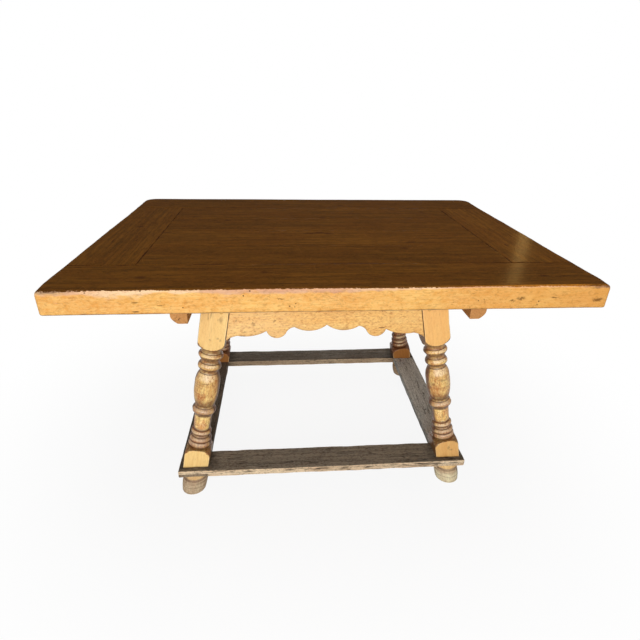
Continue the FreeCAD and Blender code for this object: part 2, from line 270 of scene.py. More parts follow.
# a group that reads one vector and some values, and puts out masks
def newGroup(name, vector, values, outputs):
    group = bpy.data.node_groups.new(name, "ShaderNodeTree")
    group.interface.new_socket(vector, in_out="INPUT", socket_type="NodeSocketVector")
    for socket, value in values.items():
        made = group.interface.new_socket(socket, in_out="INPUT", socket_type="NodeSocketFloat")
        made.default_value = value
    for socket in outputs:
        group.interface.new_socket(socket, in_out="OUTPUT", socket_type="NodeSocketFloat")
    source = group.nodes.new("NodeGroupInput").outputs
    sink = group.nodes.new("NodeGroupOutput").inputs
    return group, source, sink


def placeGroup(tree, group, **values):
    made = newNode(tree, "Group")
    made.node_tree = group
    plugAll(tree, made, values)
    return made.outputs


# puts out masks of noise: scale along and across the grain, noise settings, levels where it starts and is full
def putNoise(group, sink, grain, masks):
    for socket, (along, across, settings, low, high) in masks.items():
        plug(group, sink[socket], ramp(group, grainNoise(group, grain, along, across, *settings), low, high))


# a thin line wherever noise crosses its middle
def middleLine(tree, level, width):
    return ramp(tree, math2(tree, "ABSOLUTE", minus(tree, level, 0.5)), width, 0.0)


# the places that an amount leaves to an effect: more of it lowers the limit
def allowedPlaces(tree, where, limit, amount, gain, soft):
    limit = minus(tree, limit, times(tree, amount, gain))
    return ramp(tree, where, limit, plus(tree, limit, soft))


# growth rings about a pith that lies beside the board, with fibres and pores along it
def makeGrainGroup():
    group, source, sink = newGroup("growthRings", "Grain", dict(RingSize=0.006, Warp=0.02, Bend=0.0),
                                   ("Rings", "Tone", "Fibre", "Pores", "Streaks"))
    grain = source["Grain"]
    warp = times(group, minus(group, grainNoise(group, grain, 1.7, 9.0), 0.5), source["Warp"])
    fromPith = vectorMath(group, "LENGTH", vectorMath(group, "MULTIPLY", grain, (0.0, 1.0, 1.0)))
    radius = plus(group, plus(group, fromPith, warp), times(group, source["Bend"], 0.02))
    saw = math2(group, "FRACT", math2(group, "DIVIDE", radius, source["RingSize"]))
    # late wood darkens slowly and ends at once
    plug(group, sink["Rings"], times(group, math2(group, "POWER", saw, 2.2), ramp(group, saw, 1.0, 0.9)))
    putNoise(group, sink, grain, dict(
        Tone=(1.1, 11.0, (4.0, 0.6, 0.4), 0.28, 0.72), Fibre=(26.0, 480.0, (3.0, 0.6), 0.25, 0.75),
        Pores=(55.0, 950.0, (1.0,), 0.62, 0.74), Streaks=(3.0, 95.0, (4.0, 0.62, 0.3), 0.3, 0.7)))
    return group


# worm holes and short nicks along the grain
def makeSpeckGroup():
    group, source, sink = newGroup("wormHolesAndNicks", "Grain", dict(Spacing=0.02, Size=0.07, Amount=0.5),
                                   ("Holes", "Nicks"))
    grain = source["Grain"]
    allowed = allowedPlaces(group, grainNoise(group, grain, 5.0, 9.0, 2.0), 0.72, source["Amount"], 0.4, 0.08)
    scale = math2(group, "DIVIDE", 1.0, source["Spacing"])
    for socket, along, width in (("Holes", 1.0, 1.0), ("Nicks", 0.16, 1.3)):
        cells = newNode(group, "TexVoronoi", feature="F1")
        plug(group, cells.inputs["Vector"], vectorMath(group, "MULTIPLY", grain, (along, 1.0, 1.0)))
        plug(group, cells.inputs["Scale"], scale)
        chance = newNode(group, "SeparateColor")
        plug(group, chance.inputs[0], cells.outputs["Color"])
        size = times(group, times(group, source["Size"], width), ramp(group, chance.outputs[0], 0.35, 1.0))
        spot = ramp(group, cells.outputs["Distance"], size, times(group, size, 0.55))
        plug(group, sink[socket], times(group, spot, allowed))
    return group


# worn places with painted highlights and dirty places with painted shade, broken up by noise, and slow patches of
# patina
def makeAgeGroup():
    group, source, sink = newGroup("ageWearAndShade", "Grain", {},
                                   ("WornAndHighlight", "DirtyAndShaded", "Patches", "Mottle", "Speckle", "Blotches"))
    grain = source["Grain"]
    uneven = minus(group, grainNoise(group, grain, 35.0, 90.0, 4.0, 0.65), 0.5)
    for layer, socket, breakUp, full in (("wearAndHighlight", "WornAndHighlight", 1.5, 0.8), ("dirt", "DirtyAndShaded", 0.7, 0.95)):
        level = plus(group, attributeOf(group, layer), times(group, uneven, breakUp))
        plug(group, sink[socket], ramp(group, level, 0.2, full))
    putNoise(group, sink, grain, dict(
        Patches=(4.0, 13.0, (5.0, 0.6, 0.5), 0.38, 0.66), Mottle=(120.0, 190.0, (3.0, 0.7), 0.3, 0.7),
        Speckle=(110.0, 210.0, (3.0, 0.65), 0.5, 0.68), Blotches=(26.0, 48.0, (4.0, 0.62, 0.3), 0.44, 0.62)))
    return group


# long thin drying cracks
def makeCrackGroup():
    group, source, sink = newGroup("dryingCracks", "Grain", dict(Amount=0.3), ("Cracks",))
    grain = source["Grain"]
    line = middleLine(group, grainNoise(group, grain, 4.5, 60.0, 3.0, 0.5, 0.2), 0.02)
    where = grainNoise(group, grain, 7.0, 22.0, 2.0)
    plug(group, sink["Cracks"], times(group, line, allowedPlaces(group, where, 0.75, source["Amount"], 0.5, 0.08)))
    return group


# fine scratches that run across the grain at any angle
def makeScratchGroup():
    group, source, sink = newGroup("fineScratches", "Grain", dict(Amount=0.3), ("Scratches",))
    found = []
    for turn, along, across in ((0.5, 2.2, 34.0), (-0.9, 2.8, 42.0), (1.35, 3.4, 38.0)):
        spun = newNode(group, "VectorRotate", rotation_type="Z_AXIS")
        plugAll(group, spun, dict(Vector=source["Grain"], Angle=turn))
        line = middleLine(group, grainNoise(group, spun.outputs[0], along, across, 1.0, 0.4, 0.1), 0.006)
        where = grainNoise(group, spun.outputs[0], 9.0, 14.0, 1.0)
        found.append(times(group, line, allowedPlaces(group, where, 0.78, source["Amount"], 0.4, 0.06)))
    plug(group, sink["Scratches"], largest(group, found))
    return group


# knots and stains at given places: middle and half sizes
topKnots = [((x, y, topZ), (size * 1.7, size, 1.0)) for x, y, size in (
    (-0.034, -0.034, 0.011), (-0.006, -0.026, 0.013), (0.022, -0.035, 0.011), (-0.31, 0.13, 0.008),
    (0.23, -0.19, 0.009), (0.41, 0.26, 0.008), (-0.46, -0.41, 0.009), (0.11, 0.37, 0.009), (-0.17, -0.38, 0.007),
    (0.53, -0.42, 0.008), (-0.58, 0.05, 0.008), (0.02, 0.17, 0.007))]
topKnots += [((x, -topHalfY, z), (size * 1.5, 0.02, size * 0.45)) for x, z, size in (
    (0.446, 0.733, 0.009), (0.424, 0.727, 0.005), (0.530, 0.735, 0.007), (0.640, 0.727, 0.010),
    (-0.13, 0.738, 0.005), (-0.40, 0.727, 0.006))]
legStains = [((x, y, z), (halfWidth, 0.02, halfHeight)) for x, y, z, halfWidth, halfHeight in (
    (-0.298, -0.297, 0.592, 0.007, 0.010), (-0.366, -0.302, 0.545, 0.004, 0.009),
    (-0.309, -0.303, 0.538, 0.004, 0.004), (-0.303, -0.304, 0.529, 0.003, 0.006),
    (-0.330, -0.303, 0.533, 0.003, 0.005), (-0.384, -0.320, 0.273, 0.004, 0.015),
    (-0.356, -0.316, 0.393, 0.022, 0.003), (0.404, -0.347, 0.142, 0.004, 0.009),
    (0.413, -0.347, 0.134, 0.007, 0.003), (0.375, -0.322, 0.253, 0.004, 0.010),
    (0.331, -0.318, 0.368, 0.008, 0.008), (0.361, -0.316, 0.386, 0.020, 0.005))]
apronStains = [((x, y, z), (halfWidth, 0.02, halfHeight)) for x, y, z, halfWidth, halfHeight in (
    (-0.209, -0.297, 0.577, 0.007, 0.006), (-0.255, -0.295, 0.588, 0.004, 0.004),
    (-0.234, -0.299, 0.554, 0.006, 0.003), (-0.148, -0.296, 0.586, 0.004, 0.004),
    (-0.218, -0.299, 0.592, 0.004, 0.003), (-0.205, -0.299, 0.556, 0.005, 0.003))]
spotShake = 0.020


def makeSpotGroup(name, spots):
    group, source, sink = newGroup(name, "Place", {}, ("Core", "Bend"))
    uneven = noiseValue(group, source["Place"], 4.0, 0.7, scale=110.0, socket="Color")
    shaken = vectorMath(group, "MULTIPLY_ADD", uneven, (spotShake, spotShake, spotShake), source["Place"])
    cores, bends = [], []
    for middle, sizes in spots:
        away = vectorMath(group, "SUBTRACT", shaken, tuple(value + spotShake / 2 for value in middle))
        away = vectorMath(group, "MULTIPLY", away, tuple(1 / size for size in sizes))
        far = vectorMath(group, "LENGTH", away)
        cores.append(ramp(group, far, 1.3, 0.2))
        bends.append(ramp(group, far, 4.5, 0.5))
    plug(group, sink["Core"], largest(group, cores))
    plug(group, sink["Bend"], largest(group, bends))
    return group


# fine lines round a turned piece
def makeLatheGroup():
    group, source, sink = newGroup("latheLines", "Grain", {}, ("Lines",))
    putNoise(group, sink, source["Grain"], dict(Lines=(260.0, 7.0, (2.0, 0.6), 0.56, 0.7)))
    return group


grainGroup = makeGrainGroup()
speckGroup = makeSpeckGroup()
ageGroup = makeAgeGroup()
crackGroup = makeCrackGroup()
scratchGroup = makeScratchGroup()
knotGroup = makeSpotGroup("topKnots", topKnots)
legStainGroup = makeSpotGroup("legStains", legStains)
apronStainGroup = makeSpotGroup("apronStains", apronStains)
latheGroup = makeLatheGroup()
print("shader groups made")


# the order in which a finish gives the shares of its effects
shareOrder = ("Tone", "Rings", "Streaks", "Patches", "Mottle", "Fibre", "Pores", "Blotches")


def woodFinish(*shares, **tints):
    finish = {name: tint(*values) for name, values in tints.items()}
    finish["shares"] = dict(zip(shareOrder, shares))
    return finish


# colour of one kind of wood finish from its own tints and the shared effects
def woodColour(tree, finish, grainOut, ageOut):
    colour = finish["main"]
    for out, effect, over in (
            (grainOut, "Tone", "second"), (grainOut, "Rings", "ring"), (grainOut, "Streaks", "streak"),
            (ageOut, "Patches", "patch"), (ageOut, "Blotches", "second"), (ageOut, "Mottle", "mottle"),
            (grainOut, "Fibre", "ring"), (grainOut, "Pores", "pore")):
        if effect in finish["shares"]:
            colour = layTint(tree, out[effect], finish["shares"][effect], colour, finish[over])
    return colour


honeyEdge = woodFinish(
    0.6, 0.3, 0.4, 0.55, 0.4, 0.3, 0.5, 0.5, main=(246, 196, 112), second=(222, 152, 68), ring=(200, 126, 54),
    streak=(252, 214, 138), patch=(230, 160, 90), mottle=(252, 214, 140), pore=(140, 84, 38))
# finish of the upper faces: dark wax, darkened further as painted shade
darkWaxAndShade = woodFinish(
    0.8, 0.45, 0.55, 0.5, 0.3, 0.34, 0.5, 0.35, main=(86, 55, 16), second=(56, 34, 8), ring=(40, 23, 6),
    streak=(124, 78, 24), patch=(82, 46, 12), mottle=(112, 70, 22), pore=(30, 17, 6))
legHoney = woodFinish(
    0.4, 0.45, 0.5, 0.45, 0.4, 0.35, 0.6, 0.8, main=(255, 218, 126), second=(180, 100, 32), ring=(164, 92, 32),
    streak=(255, 236, 160), patch=(218, 146, 66), mottle=(255, 230, 158), pore=(92, 48, 20))
blockHoney = woodFinish(
    0.65, 0.35, 0.4, 0.45, 0.3, 0.25, 0.35, main=(247, 212, 136), second=(230, 178, 100), ring=(206, 146, 74),
    streak=(250, 222, 156), patch=(230, 182, 112), mottle=(250, 214, 146), pore=(140, 92, 48))
blockOrange = woodFinish(
    0.65, 0.35, 0.4, 0.45, 0.3, 0.25, 0.35, main=(246, 196, 114), second=(224, 156, 80), ring=(200, 132, 64),
    streak=(250, 210, 134), patch=(226, 166, 98), mottle=(250, 206, 130), pore=(140, 86, 44))
# shaded copies of the leg finishes, as painted shade on the back legs
legShadedBrown = woodFinish(
    0.7, 0.4, 0.4, 0.5, 0.35, 0.3, 0.4, main=(150, 94, 48), second=(104, 62, 32), ring=(84, 47, 22),
    streak=(184, 128, 78), patch=(136, 88, 58), mottle=(172, 118, 72), pore=(56, 32, 16))
blockShadedBrown = woodFinish(
    0.6, 0.35, 0.35, 0.45, 0.3, 0.25, 0.35, main=(182, 118, 54), second=(150, 92, 40), ring=(122, 72, 30),
    streak=(198, 136, 72), patch=(160, 106, 58), mottle=(192, 130, 68), pore=(84, 48, 22))
apronHoney = woodFinish(
    0.65, 0.4, 0.4, 0.5, 0.42, 0.3, 0.5, 0.3, main=(255, 220, 138), second=(246, 194, 110), ring=(208, 142, 78),
    streak=(255, 226, 152), patch=(234, 182, 112), mottle=(200, 136, 80), pore=(132, 80, 44))
stretcherDark = woodFinish(
    0.7, 0.45, 0.6, 0.5, 0.5, 0.4, 0.6, main=(116, 105, 90), second=(74, 64, 53), ring=(52, 43, 35),
    streak=(172, 158, 136), patch=(102, 94, 86), mottle=(164, 151, 130), pore=(34, 27, 22))
stretcherEdge = woodFinish(
    0.7, 0.5, 0.5, 0.55, 0.5, 0.4, 0.65, main=(242, 214, 174), second=(200, 162, 124), ring=(136, 100, 70),
    streak=(255, 238, 206), patch=(206, 168, 136), mottle=(250, 228, 194), pore=(86, 60, 42))
footPale = woodFinish(
    0.7, 0.3, 0.5, 0.5, 0.45, 0.35, 0.45, main=(204, 176, 140), second=(170, 138, 108), ring=(136, 106, 80),
    streak=(232, 210, 172), patch=(186, 152, 126), mottle=(228, 206, 168), pore=(92, 70, 50))
# a pale grey copy of the stretcher top finish, as a painted sheen on the right stretcher
stretcherSheenGrey = woodFinish(
    0.6, 0.4, 0.5, 0.45, 0.5, 0.4, 0.6, main=(184, 187, 183), second=(140, 141, 138), ring=(102, 99, 94),
    streak=(222, 221, 213), patch=(166, 166, 161), mottle=(216, 216, 209), pore=(62, 58, 53))
footCollar = woodFinish(
    0.6, 0.25, 0.4, 0.4, 0.35, 0.3, 0.35, main=(240, 200, 134), second=(214, 164, 106), ring=(172, 122, 74),
    streak=(250, 222, 166), patch=(222, 176, 130), mottle=(246, 214, 156), pore=(110, 76, 46))
battenBrown = woodFinish(
    0.6, 0.35, 0.35, 0.35, 0.25, 0.3, 0.4, main=(204, 146, 84), second=(176, 118, 62), ring=(144, 92, 46),
    streak=(220, 166, 104), patch=(190, 134, 84), mottle=(214, 160, 102), pore=(104, 64, 34))


def newMaterial(name):
    material = bpy.data.materials.new(name)
    material.use_nodes = True
    material.node_tree.nodes.clear()
    return material, material.node_tree


# joins colour, roughness and relief to the shader of a wood
def shadeWood(tree, colour, matt, roughness, height, bump, depth):
    spread = newNode(tree, "MapRange")
    plugAll(tree, spread, {"Value": matt, "To Min": roughness[0], "To Max": roughness[1]})
    relief = newNode(tree, "Bump")
    plugAll(tree, relief, dict(Strength=bump, Distance=depth, Height=height))
    shader = newNode(tree, "BsdfPrincipled")
    plugAll(tree, shader, {"Base Color": colour, "Roughness": spread.outputs[0], "Normal": relief.outputs[0]})
    plug(tree, newNode(tree, "OutputMaterial").inputs[0], shader.outputs[0])
    return shader


# what a wood has unless its own look says otherwise
usualLook = dict(
    over=None, overFrom=(0.55, 0.85), ragged=0.12, below=None, worn=tint(246, 214, 166), wornSecond=None,
    wornShare=0.5, rubbed=None, rubbedShare=0.4, dirt=tint(70, 42, 20), dirtShare=0.8, tinged=None, speckle=None,
    speckleShare=0.15, spots=None, spotShare=0.5, turned=False, ringSize=0.007, warp=0.03, speckSpacing=0.03,
    speckSize=0.06, speckAmount=0.5, markShare=0.8, crackAmount=0.25, scratchAmount=0.2, scratchShare=0.6,
    latheShare=0.5, roughness=(0.42, 0.62), specular=0.3, coat=0.0, coatRoughness=0.3, bump=0.5,
    relief=0.6 * millimetre,
)


# one finished wood: under is the finish of the sides, over that of the faces that look up
def makeWood(name, under, **changes):
    look = {**usualLook, **changes}
    worn, rubbed, dirt = look["worn"], look["rubbed"], look["dirt"]
    speckle = look["speckle"] or dirt
    material, tree = newMaterial(name)
    grain = attributeOf(tree, "grain", "Vector")
    cover = attributeOf(tree, "cover")
    grainOut = placeGroup(tree, grainGroup, Grain=grain, RingSize=look["ringSize"], Warp=look["warp"])
    ageOut = placeGroup(tree, ageGroup, Grain=grain)
    speckOut = placeGroup(tree, speckGroup, Grain=grain, Spacing=look["speckSpacing"], Size=look["speckSize"],
                          Amount=look["speckAmount"])
    cracks = placeGroup(tree, crackGroup, Grain=grain, Amount=look["crackAmount"])["Cracks"]
    scratches = placeGroup(tree, scratchGroup, Grain=grain, Amount=look["scratchAmount"])["Scratches"]
    marks = largest(tree, (speckOut["Holes"], speckOut["Nicks"], cracks))
    heights = [(grainOut["Fibre"], 0.25), (grainOut["Rings"], 0.3), (ageOut["Mottle"], 0.35),
               (grainOut["Pores"], -0.5), (scratches, -0.5), (marks, -2.0)]
    if look["spots"]:
        spotOut = placeGroup(tree, look["spots"], Place=objectPlace(tree))
        plug(tree, grainOut[0].node.inputs["Bend"], spotOut["Bend"])
    colour = woodColour(tree, under, grainOut, ageOut)
    if look["below"]:
        lower = woodColour(tree, look["below"], grainOut, ageOut)
        colour = mixColour(tree, ramp(tree, cover, -0.5, -0.8), colour, lower)
    if look["wornSecond"]:
        worn = mixColour(tree, ageOut["Patches"], worn, look["wornSecond"])
    # the worn tint lays real wear and painted highlights
    colour = layTint(tree, ageOut["WornAndHighlight"], look["wornShare"], colour, worn)
    if look["over"]:
        torn = times(tree, ageOut["Mottle"], look["ragged"])
        above = ramp(tree, plus(tree, cover, torn), *look["overFrom"])
        upper = woodColour(tree, look["over"], grainOut, ageOut)
        upper = layTint(tree, ageOut["WornAndHighlight"], look["rubbedShare"], upper, rubbed)
        colour = mixColour(tree, above, colour, upper)
    scuffed = mixColour(tree, 0.5, colour, rubbed or worn)
    colour = layTint(tree, scratches, look["scratchShare"], colour, scuffed)
    if look["tinged"]:
        uneven = weighted(tree, ((ageOut["Mottle"], 0.4), (grainOut["Streaks"], 0.4)))
        tinge = times(tree, attributeOf(tree, "tinge"), plus(tree, uneven, 0.25))
        colour = mixColour(tree, tinge, colour, look["tinged"])
    brighter = newNode(tree, "HueSaturation")
    plugAll(tree, brighter, dict(Value=plus(tree, attributeOf(tree, "tone"), 1.0), Color=colour))
    speckled = times(tree, ageOut["Speckle"], look["speckleShare"])
    if look["turned"]:
        # the squares are plainer than what the lathe has left
        onTurned = ramp(tree, cover, 1.9, 0.9)
        speckled = times(tree, speckled, onTurned)
    colour = mixColour(tree, speckled, brighter.outputs[0], speckle)
    # the dirt tint lays real dirt and painted shade
    colour = layTint(tree, ageOut["DirtyAndShaded"], look["dirtShare"], colour, dirt)
    if look["spots"]:
        colour = layTint(tree, spotOut["Core"], look["spotShare"], colour, dirt)
    if look["turned"]:
        latheLines = times(tree, placeGroup(tree, latheGroup, Grain=grain)["Lines"], onTurned)
        colour = layTint(tree, latheLines, look["latheShare"], colour, speckle)
        heights.append((latheLines, -0.4))
    colour = layTint(tree, marks, look["markShare"], colour, dirt)
    # matt in pores and dirt, smoother where hands and feet have rubbed
    matt = weighted(tree, ((grainOut["Fibre"], 0.5), (ageOut["Patches"], 0.5), (ageOut["DirtyAndShaded"], 0.6)))
    shader = shadeWood(tree, colour, matt, look["roughness"], weighted(tree, heights), look["bump"], look["relief"])
    shader.inputs["Specular IOR Level"].default_value = look["specular"]
    shader.inputs["Coat Weight"].default_value = look["coat"]
    shader.inputs["Coat Roughness"].default_value = look["coatRoughness"]
    return material


# the dark upper faces are partly dark wax and partly painted shade
topWood = makeWood(
    "waxedTopWood", honeyEdge, over=darkWaxAndShade, overFrom=(0.84, 0.94), ragged=0.28, below=battenBrown,
    worn=tint(246, 212, 172), wornSecond=tint(208, 158, 132), wornShare=0.8, rubbed=tint(118, 76, 30),
    rubbedShare=0.35, dirt=tint(56, 29, 10), dirtShare=0.9, tinged=tint(222, 142, 50), speckle=tint(112, 62, 22),
    speckleShare=0.25, spots=knotGroup, spotShare=0.7, ringSize=0.011, warp=0.07, speckSpacing=0.015,
    speckSize=0.16, speckAmount=0.85, crackAmount=0.1, scratchAmount=0.6, roughness=(0.40, 0.6), specular=0.0,
    coat=0.022, coatRoughness=0.16)
# the legs' dirt and worn tints also lay painted shade and painted highlights
legLook = dict(
    overFrom=(0.4, 0.6), ragged=0.1, worn=tint(255, 228, 180), wornShare=0.75, rubbed=tint(252, 226, 170),
    dirt=tint(84, 46, 18), dirtShare=0.9, tinged=tint(176, 138, 118), speckle=tint(150, 74, 22), speckleShare=0.65,
    spots=legStainGroup, spotShare=0.4, turned=True, speckSpacing=0.020, speckSize=0.08, speckAmount=0.5,
    roughness=(0.32, 0.55), specular=0.3, coat=0.22)
legWood = makeWood("turnedLegWood", legHoney, over=blockHoney, **legLook)
warmLegWood = makeWood("warmLegWood", legHoney, over=blockOrange, **legLook)
# a darker copy as painted shade for the back legs
brownLegWood = makeWood("brownLegWood", legShadedBrown, over=blockShadedBrown, **legLook)
apronWood = makeWood(
    "apronWood", apronHoney, below=battenBrown, dirt=tint(112, 64, 36), tinged=tint(240, 202, 150),
    speckle=tint(170, 96, 46), speckleShare=0.5, spots=apronStainGroup, spotShare=0.5, speckSpacing=0.016,
    speckSize=0.12, speckAmount=0.9, roughness=(0.45, 0.65), specular=0.15)
stretcherLook = dict(
    overFrom=(0.72, 1.0), ragged=0.3, below=stretcherDark, worn=tint(240, 210, 170), wornShare=0.7, rubbedShare=0.6,
    dirt=tint(40, 32, 26), speckleShare=0.5, ringSize=0.009, crackAmount=0.6, scratchAmount=0.7,
    roughness=(0.55, 0.8), specular=0.06, bump=0.8)
stretcherWood = makeWood("footWornStretcherWood", stretcherEdge, over=stretcherDark, rubbed=tint(150, 132, 108),
                         **stretcherLook)
greyStretcherWood = makeWood("greyStretcherWood", stretcherEdge, over=stretcherSheenGrey, rubbed=tint(190, 180, 162),
                             **stretcherLook)
footWood = makeWood(
    "dryFootWood", footPale, over=footCollar, overFrom=(0.90, 0.98), ragged=0.05, worn=tint(232, 212, 174),
    rubbed=tint(240, 214, 166), dirt=tint(104, 74, 52), dirtShare=0.7, tinged=tint(234, 224, 186),
    speckleShare=0.25, turned=True, crackAmount=0.4, roughness=(0.5, 0.75), specular=0.2, bump=0.7)
battenWood = makeWood("battenWood", battenBrown, worn=tint(226, 172, 112), roughness=(0.5, 0.7), specular=0.15)
print("woods made")


# boards of the top

topStyle = dict(
    frontCorner=0.012, backCorner=0.044, step=0.015, heightStep=0.012,
    arris=0.0066, arrisWear=0.0036, leastArris=0.0018, sideWear=0.3, lowerArris=0.0028,
    cornerWear=0.008, cornerReach=0.06,  # the front corners are worn rounder
    wobble=0.0042, wobbleLength=0.26, frontWobble=0.35, waveReach=0.07, straightCorner=0.10,  # wave of the outline
    faceWave=0.0005, topWave=0.0004, topRipple=0.00015,
    seamGap=0.00025, seamWear=0.0006, seamFall=0.0009, seamWidth=0.0014, seamReach=0.02, seamDirt=0.0030,
    # the right end board is lighter as a painted sheen
    frameSeam=1.0, plankSeam=0.45, plankTones=(-0.04, 0.03, -0.04, -0.05), backTone=-0.1, rightSheen=0.14,
)
# how the front edge has aged: a pale band below its arris that narrows to the right, and grime; painted shade lies
# along its lower arris
frontStyle = dict(
    band=0.013, bandLeft=1.2, bandFall=0.75, narrowFrom=-0.15, narrowRun=0.45, leastBand=0.003, paleShare=0.8,
    grimeFrom=0.53, grimeRun=0.12, grimeDepth=0.008, grimeDirt=0.6, grimeWear=0.4, lowArrisShade=0.6, lowHeight=0.006,
    lowSoft=0.004, deepFrom=0.1, deepRun=0.5, deepShare=0.5,
)
widestArris = topStyle["arris"] + 2 * topStyle["arrisWear"]
outerLines = [widestArris * share for share in (0, 0.1, 0.22, 0.36, 0.54, 0.76, 1.0, 1.1)]
cornerLines = outerLines + [widestArris * 1.1 + 0.004]
seamLines = [0, 0.0005, topStyle["seamWidth"], 0.0035]
lowerLines = [topStyle["lowerArris"] * share for share in (0, 0.3, 0.65, 1.0, 1.5)]


# wear, grime and painted shade at a height of the front edge
def ageFrontEdge(rim, z):
    style = frontStyle
    band = style["band"] * (style["bandLeft"] - style["bandFall"] * smooth(
        (rim[0] - style["narrowFrom"]) / style["narrowRun"])) * (1.1 + 0.5 * ripple(rim, 0.11, 3))
    depth = topZ - z
    wearAndHighlight = (style["paleShare"] + 0.3 * ripple(rim, 0.035)) * smooth(1.5 * (1 - depth / max(style["leastBand"], band)))
    grimy = smooth((abs(rim[0]) - style["grimeFrom"]) / style["grimeRun"])
    grimy *= smooth(1.6 - depth / (style["grimeDepth"] + 0.004 * ripple(rim, 0.03)))
    # painted shade along the lower arris
    below = smooth((style["lowHeight"] - (z - underZ)) / style["lowSoft"])
    return wearAndHighlight * (1 - style["grimeWear"] * grimy), max(style["grimeDirt"] * grimy, style["lowArrisShade"] * below)


# bends a flat-sided board of the top to its worn form; seams tells how far a point is from the board's joints
def wearTopBoard(points, seams):
    style = topStyle
    sign = np.sign(points[:, :2])
    corner = np.where(points[:, 1] > 0, style["backCorner"], style["frontCorner"])
    straight = np.array([topHalfX, topHalfY]) - corner[:, None]
    q = np.abs(points[:, :2]) - straight
    inCorner = (q > 0).all(1)
    length = np.maximum(np.hypot(q[:, 0], q[:, 1]), 1e-9)
    q[inCorner] *= (q.max(1) / length)[inCorner, None]
    length = np.hypot(q[:, 0], q[:, 1])
    inset = corner - np.where(inCorner, length, q.max(1))
    out = np.where(inCorner[:, None], q / np.maximum(length, 1e-9)[:, None],
                   np.stack([q[:, 0] > q[:, 1], q[:, 0] <= q[:, 1]], 1)) * sign
    plan = sign * (q + straight)
    z = points[:, 2].copy()
    wearAndHighlight = np.zeros(len(points))
    dirt = np.zeros(len(points))
    for i in np.where(inset < style["waveReach"])[0]:
        atFront = out[i, 1] < -0.5
        rim = (plan[i, 0] + out[i, 0] * inset[i], plan[i, 1] + out[i, 1] * inset[i], 0)
        # slow wave of the outline, only ever inwards
        fromCorner = max(topHalfX - abs(rim[0]), topHalfY - abs(rim[1]))
        wobble = (style["frontWobble"] if atFront else 1.0) * style["wobble"]
        wave = max(0.0, wobble * (0.5 + 0.7 * ripple(rim, style["wobbleLength"], 1)))
        wave *= smooth(fromCorner / style["straightCorner"])
        wave += style["faceWave"] * swell((rim[0], rim[1], z[i]), 0.05)
        uneven = (1.0 if atFront else style["sideWear"]) * style["arrisWear"]
        arris = style["arris"] + uneven * (1.3 * ripple(rim, 0.09, 3) + 0.7 * ripple(rim, 0.025))
        toCorner = math.hypot(topHalfX - abs(rim[0]), topHalfY + rim[1])
        arris += style["cornerWear"] * smooth(1 - toCorner / style["cornerReach"])
        arris = min(max(arris, style["leastArris"]), widestArris)
        if atFront and inset[i] < arris:
            wearAndHighlight[i], dirt[i] = ageFrontEdge(rim, z[i])
        for top, level in ((True, topZ), (False, underZ)):
            size = arris if top else style["lowerArris"] * (1 + 0.4 * ripple(rim, 0.06))
            u = size - inset[i]
            v = size - abs(level - z[i])
            if u > 0 and v > 0:
                share = max(u, v) / math.hypot(u, v)
                wearAndHighlight[i] = max(wearAndHighlight[i], min(u, v) / size)
                plan[i] -= out[i] * (u * (1 - share))
                z[i] = level - (1 if top else -1) * (size - v * share)
        plan[i] -= out[i] * max(0.0, wave) * max(0.0, 1 - inset[i] / style["waveReach"])
    onTop = points[:, 2] > topZ - 1e-6
    # joints: the boards are eased and have drawn apart a little
    for distance, inward, strength in seams:
        for i in np.where(distance < style["seamReach"])[0]:
            opened = style["seamGap"] + style["seamWear"] * max(0, ripple((plan[i, 0], plan[i, 1], 0), 0.11))
            plan[i] += inward * strength * opened * max(0, 1 - distance[i] / style["seamReach"])
        z -= np.where(onTop, nearness(distance, style["seamWidth"]) * strength * style["seamFall"], 0)
        broken = 0.3 + 0.7 * smooth(0.55 + 1.1 * ripples(np.column_stack([plan, z * 0]), 0.07))
        dirt = np.maximum(dirt, strength * broken * np.clip(1.3 - distance / style["seamDirt"], 0, 1))
    for i in np.where(onTop)[0]:
        spot = (plan[i, 0] * 0.5, plan[i, 1], 0)
        z[i] -= style["topWave"] * swell(spot, 0.16) + style["topRipple"] * swell(spot, 0.03)
    return np.column_stack([plan, z]), wearAndHighlight, dirt


def addTopBoard(node, low, high, lowJoint, highJoint, grainAxis, tone):
    lines = []
    for axis in (0, 1):
        lowLines = seamLines if lowJoint[axis] else cornerLines
        highLines = seamLines if highJoint[axis] else cornerLines
        step = topStyle["step"] if axis == grainAxis else topStyle["step"] * 0.8
        lines.append(latticeLine(low[axis], high[axis], lowLines, highLines, step))
    zs = latticeLine(underZ, topZ, lowerLines, outerLines, topStyle["heightStep"])
    points, quads = latticeSkin(*lines, zs)
    seams = []
    for axis in (0, 1):
        inward = np.zeros(2)
        inward[axis] = 1
        if lowJoint[axis]:
            seams.append((points[:, axis] - low[axis], inward, lowJoint[axis]))
        if highJoint[axis]:
            seams.append((high[axis] - points[:, axis], -inward, highJoint[axis]))
    worn, wearAndHighlight, dirt = wearTopBoard(points, seams)
    grain = worn if grainAxis == 0 else worn[:, [1, 0, 2]]
    inSeam = np.min([distance for distance, _, _ in seams], 0) < 0.002
    # the honey of the front edge deepens to the right
    deeper = smooth((worn[:, 0] - frontStyle["deepFrom"]) / frontStyle["deepRun"])
    tinge = frontStyle["deepShare"] * deeper * (worn[:, 1] < 0.01 - topHalfY)
    addPiece(node, topWood, worn, quads, grain, wearAndHighlight, dirt, tone,
             cover=np.where(inSeam, 1, -1), tinge=tinge)


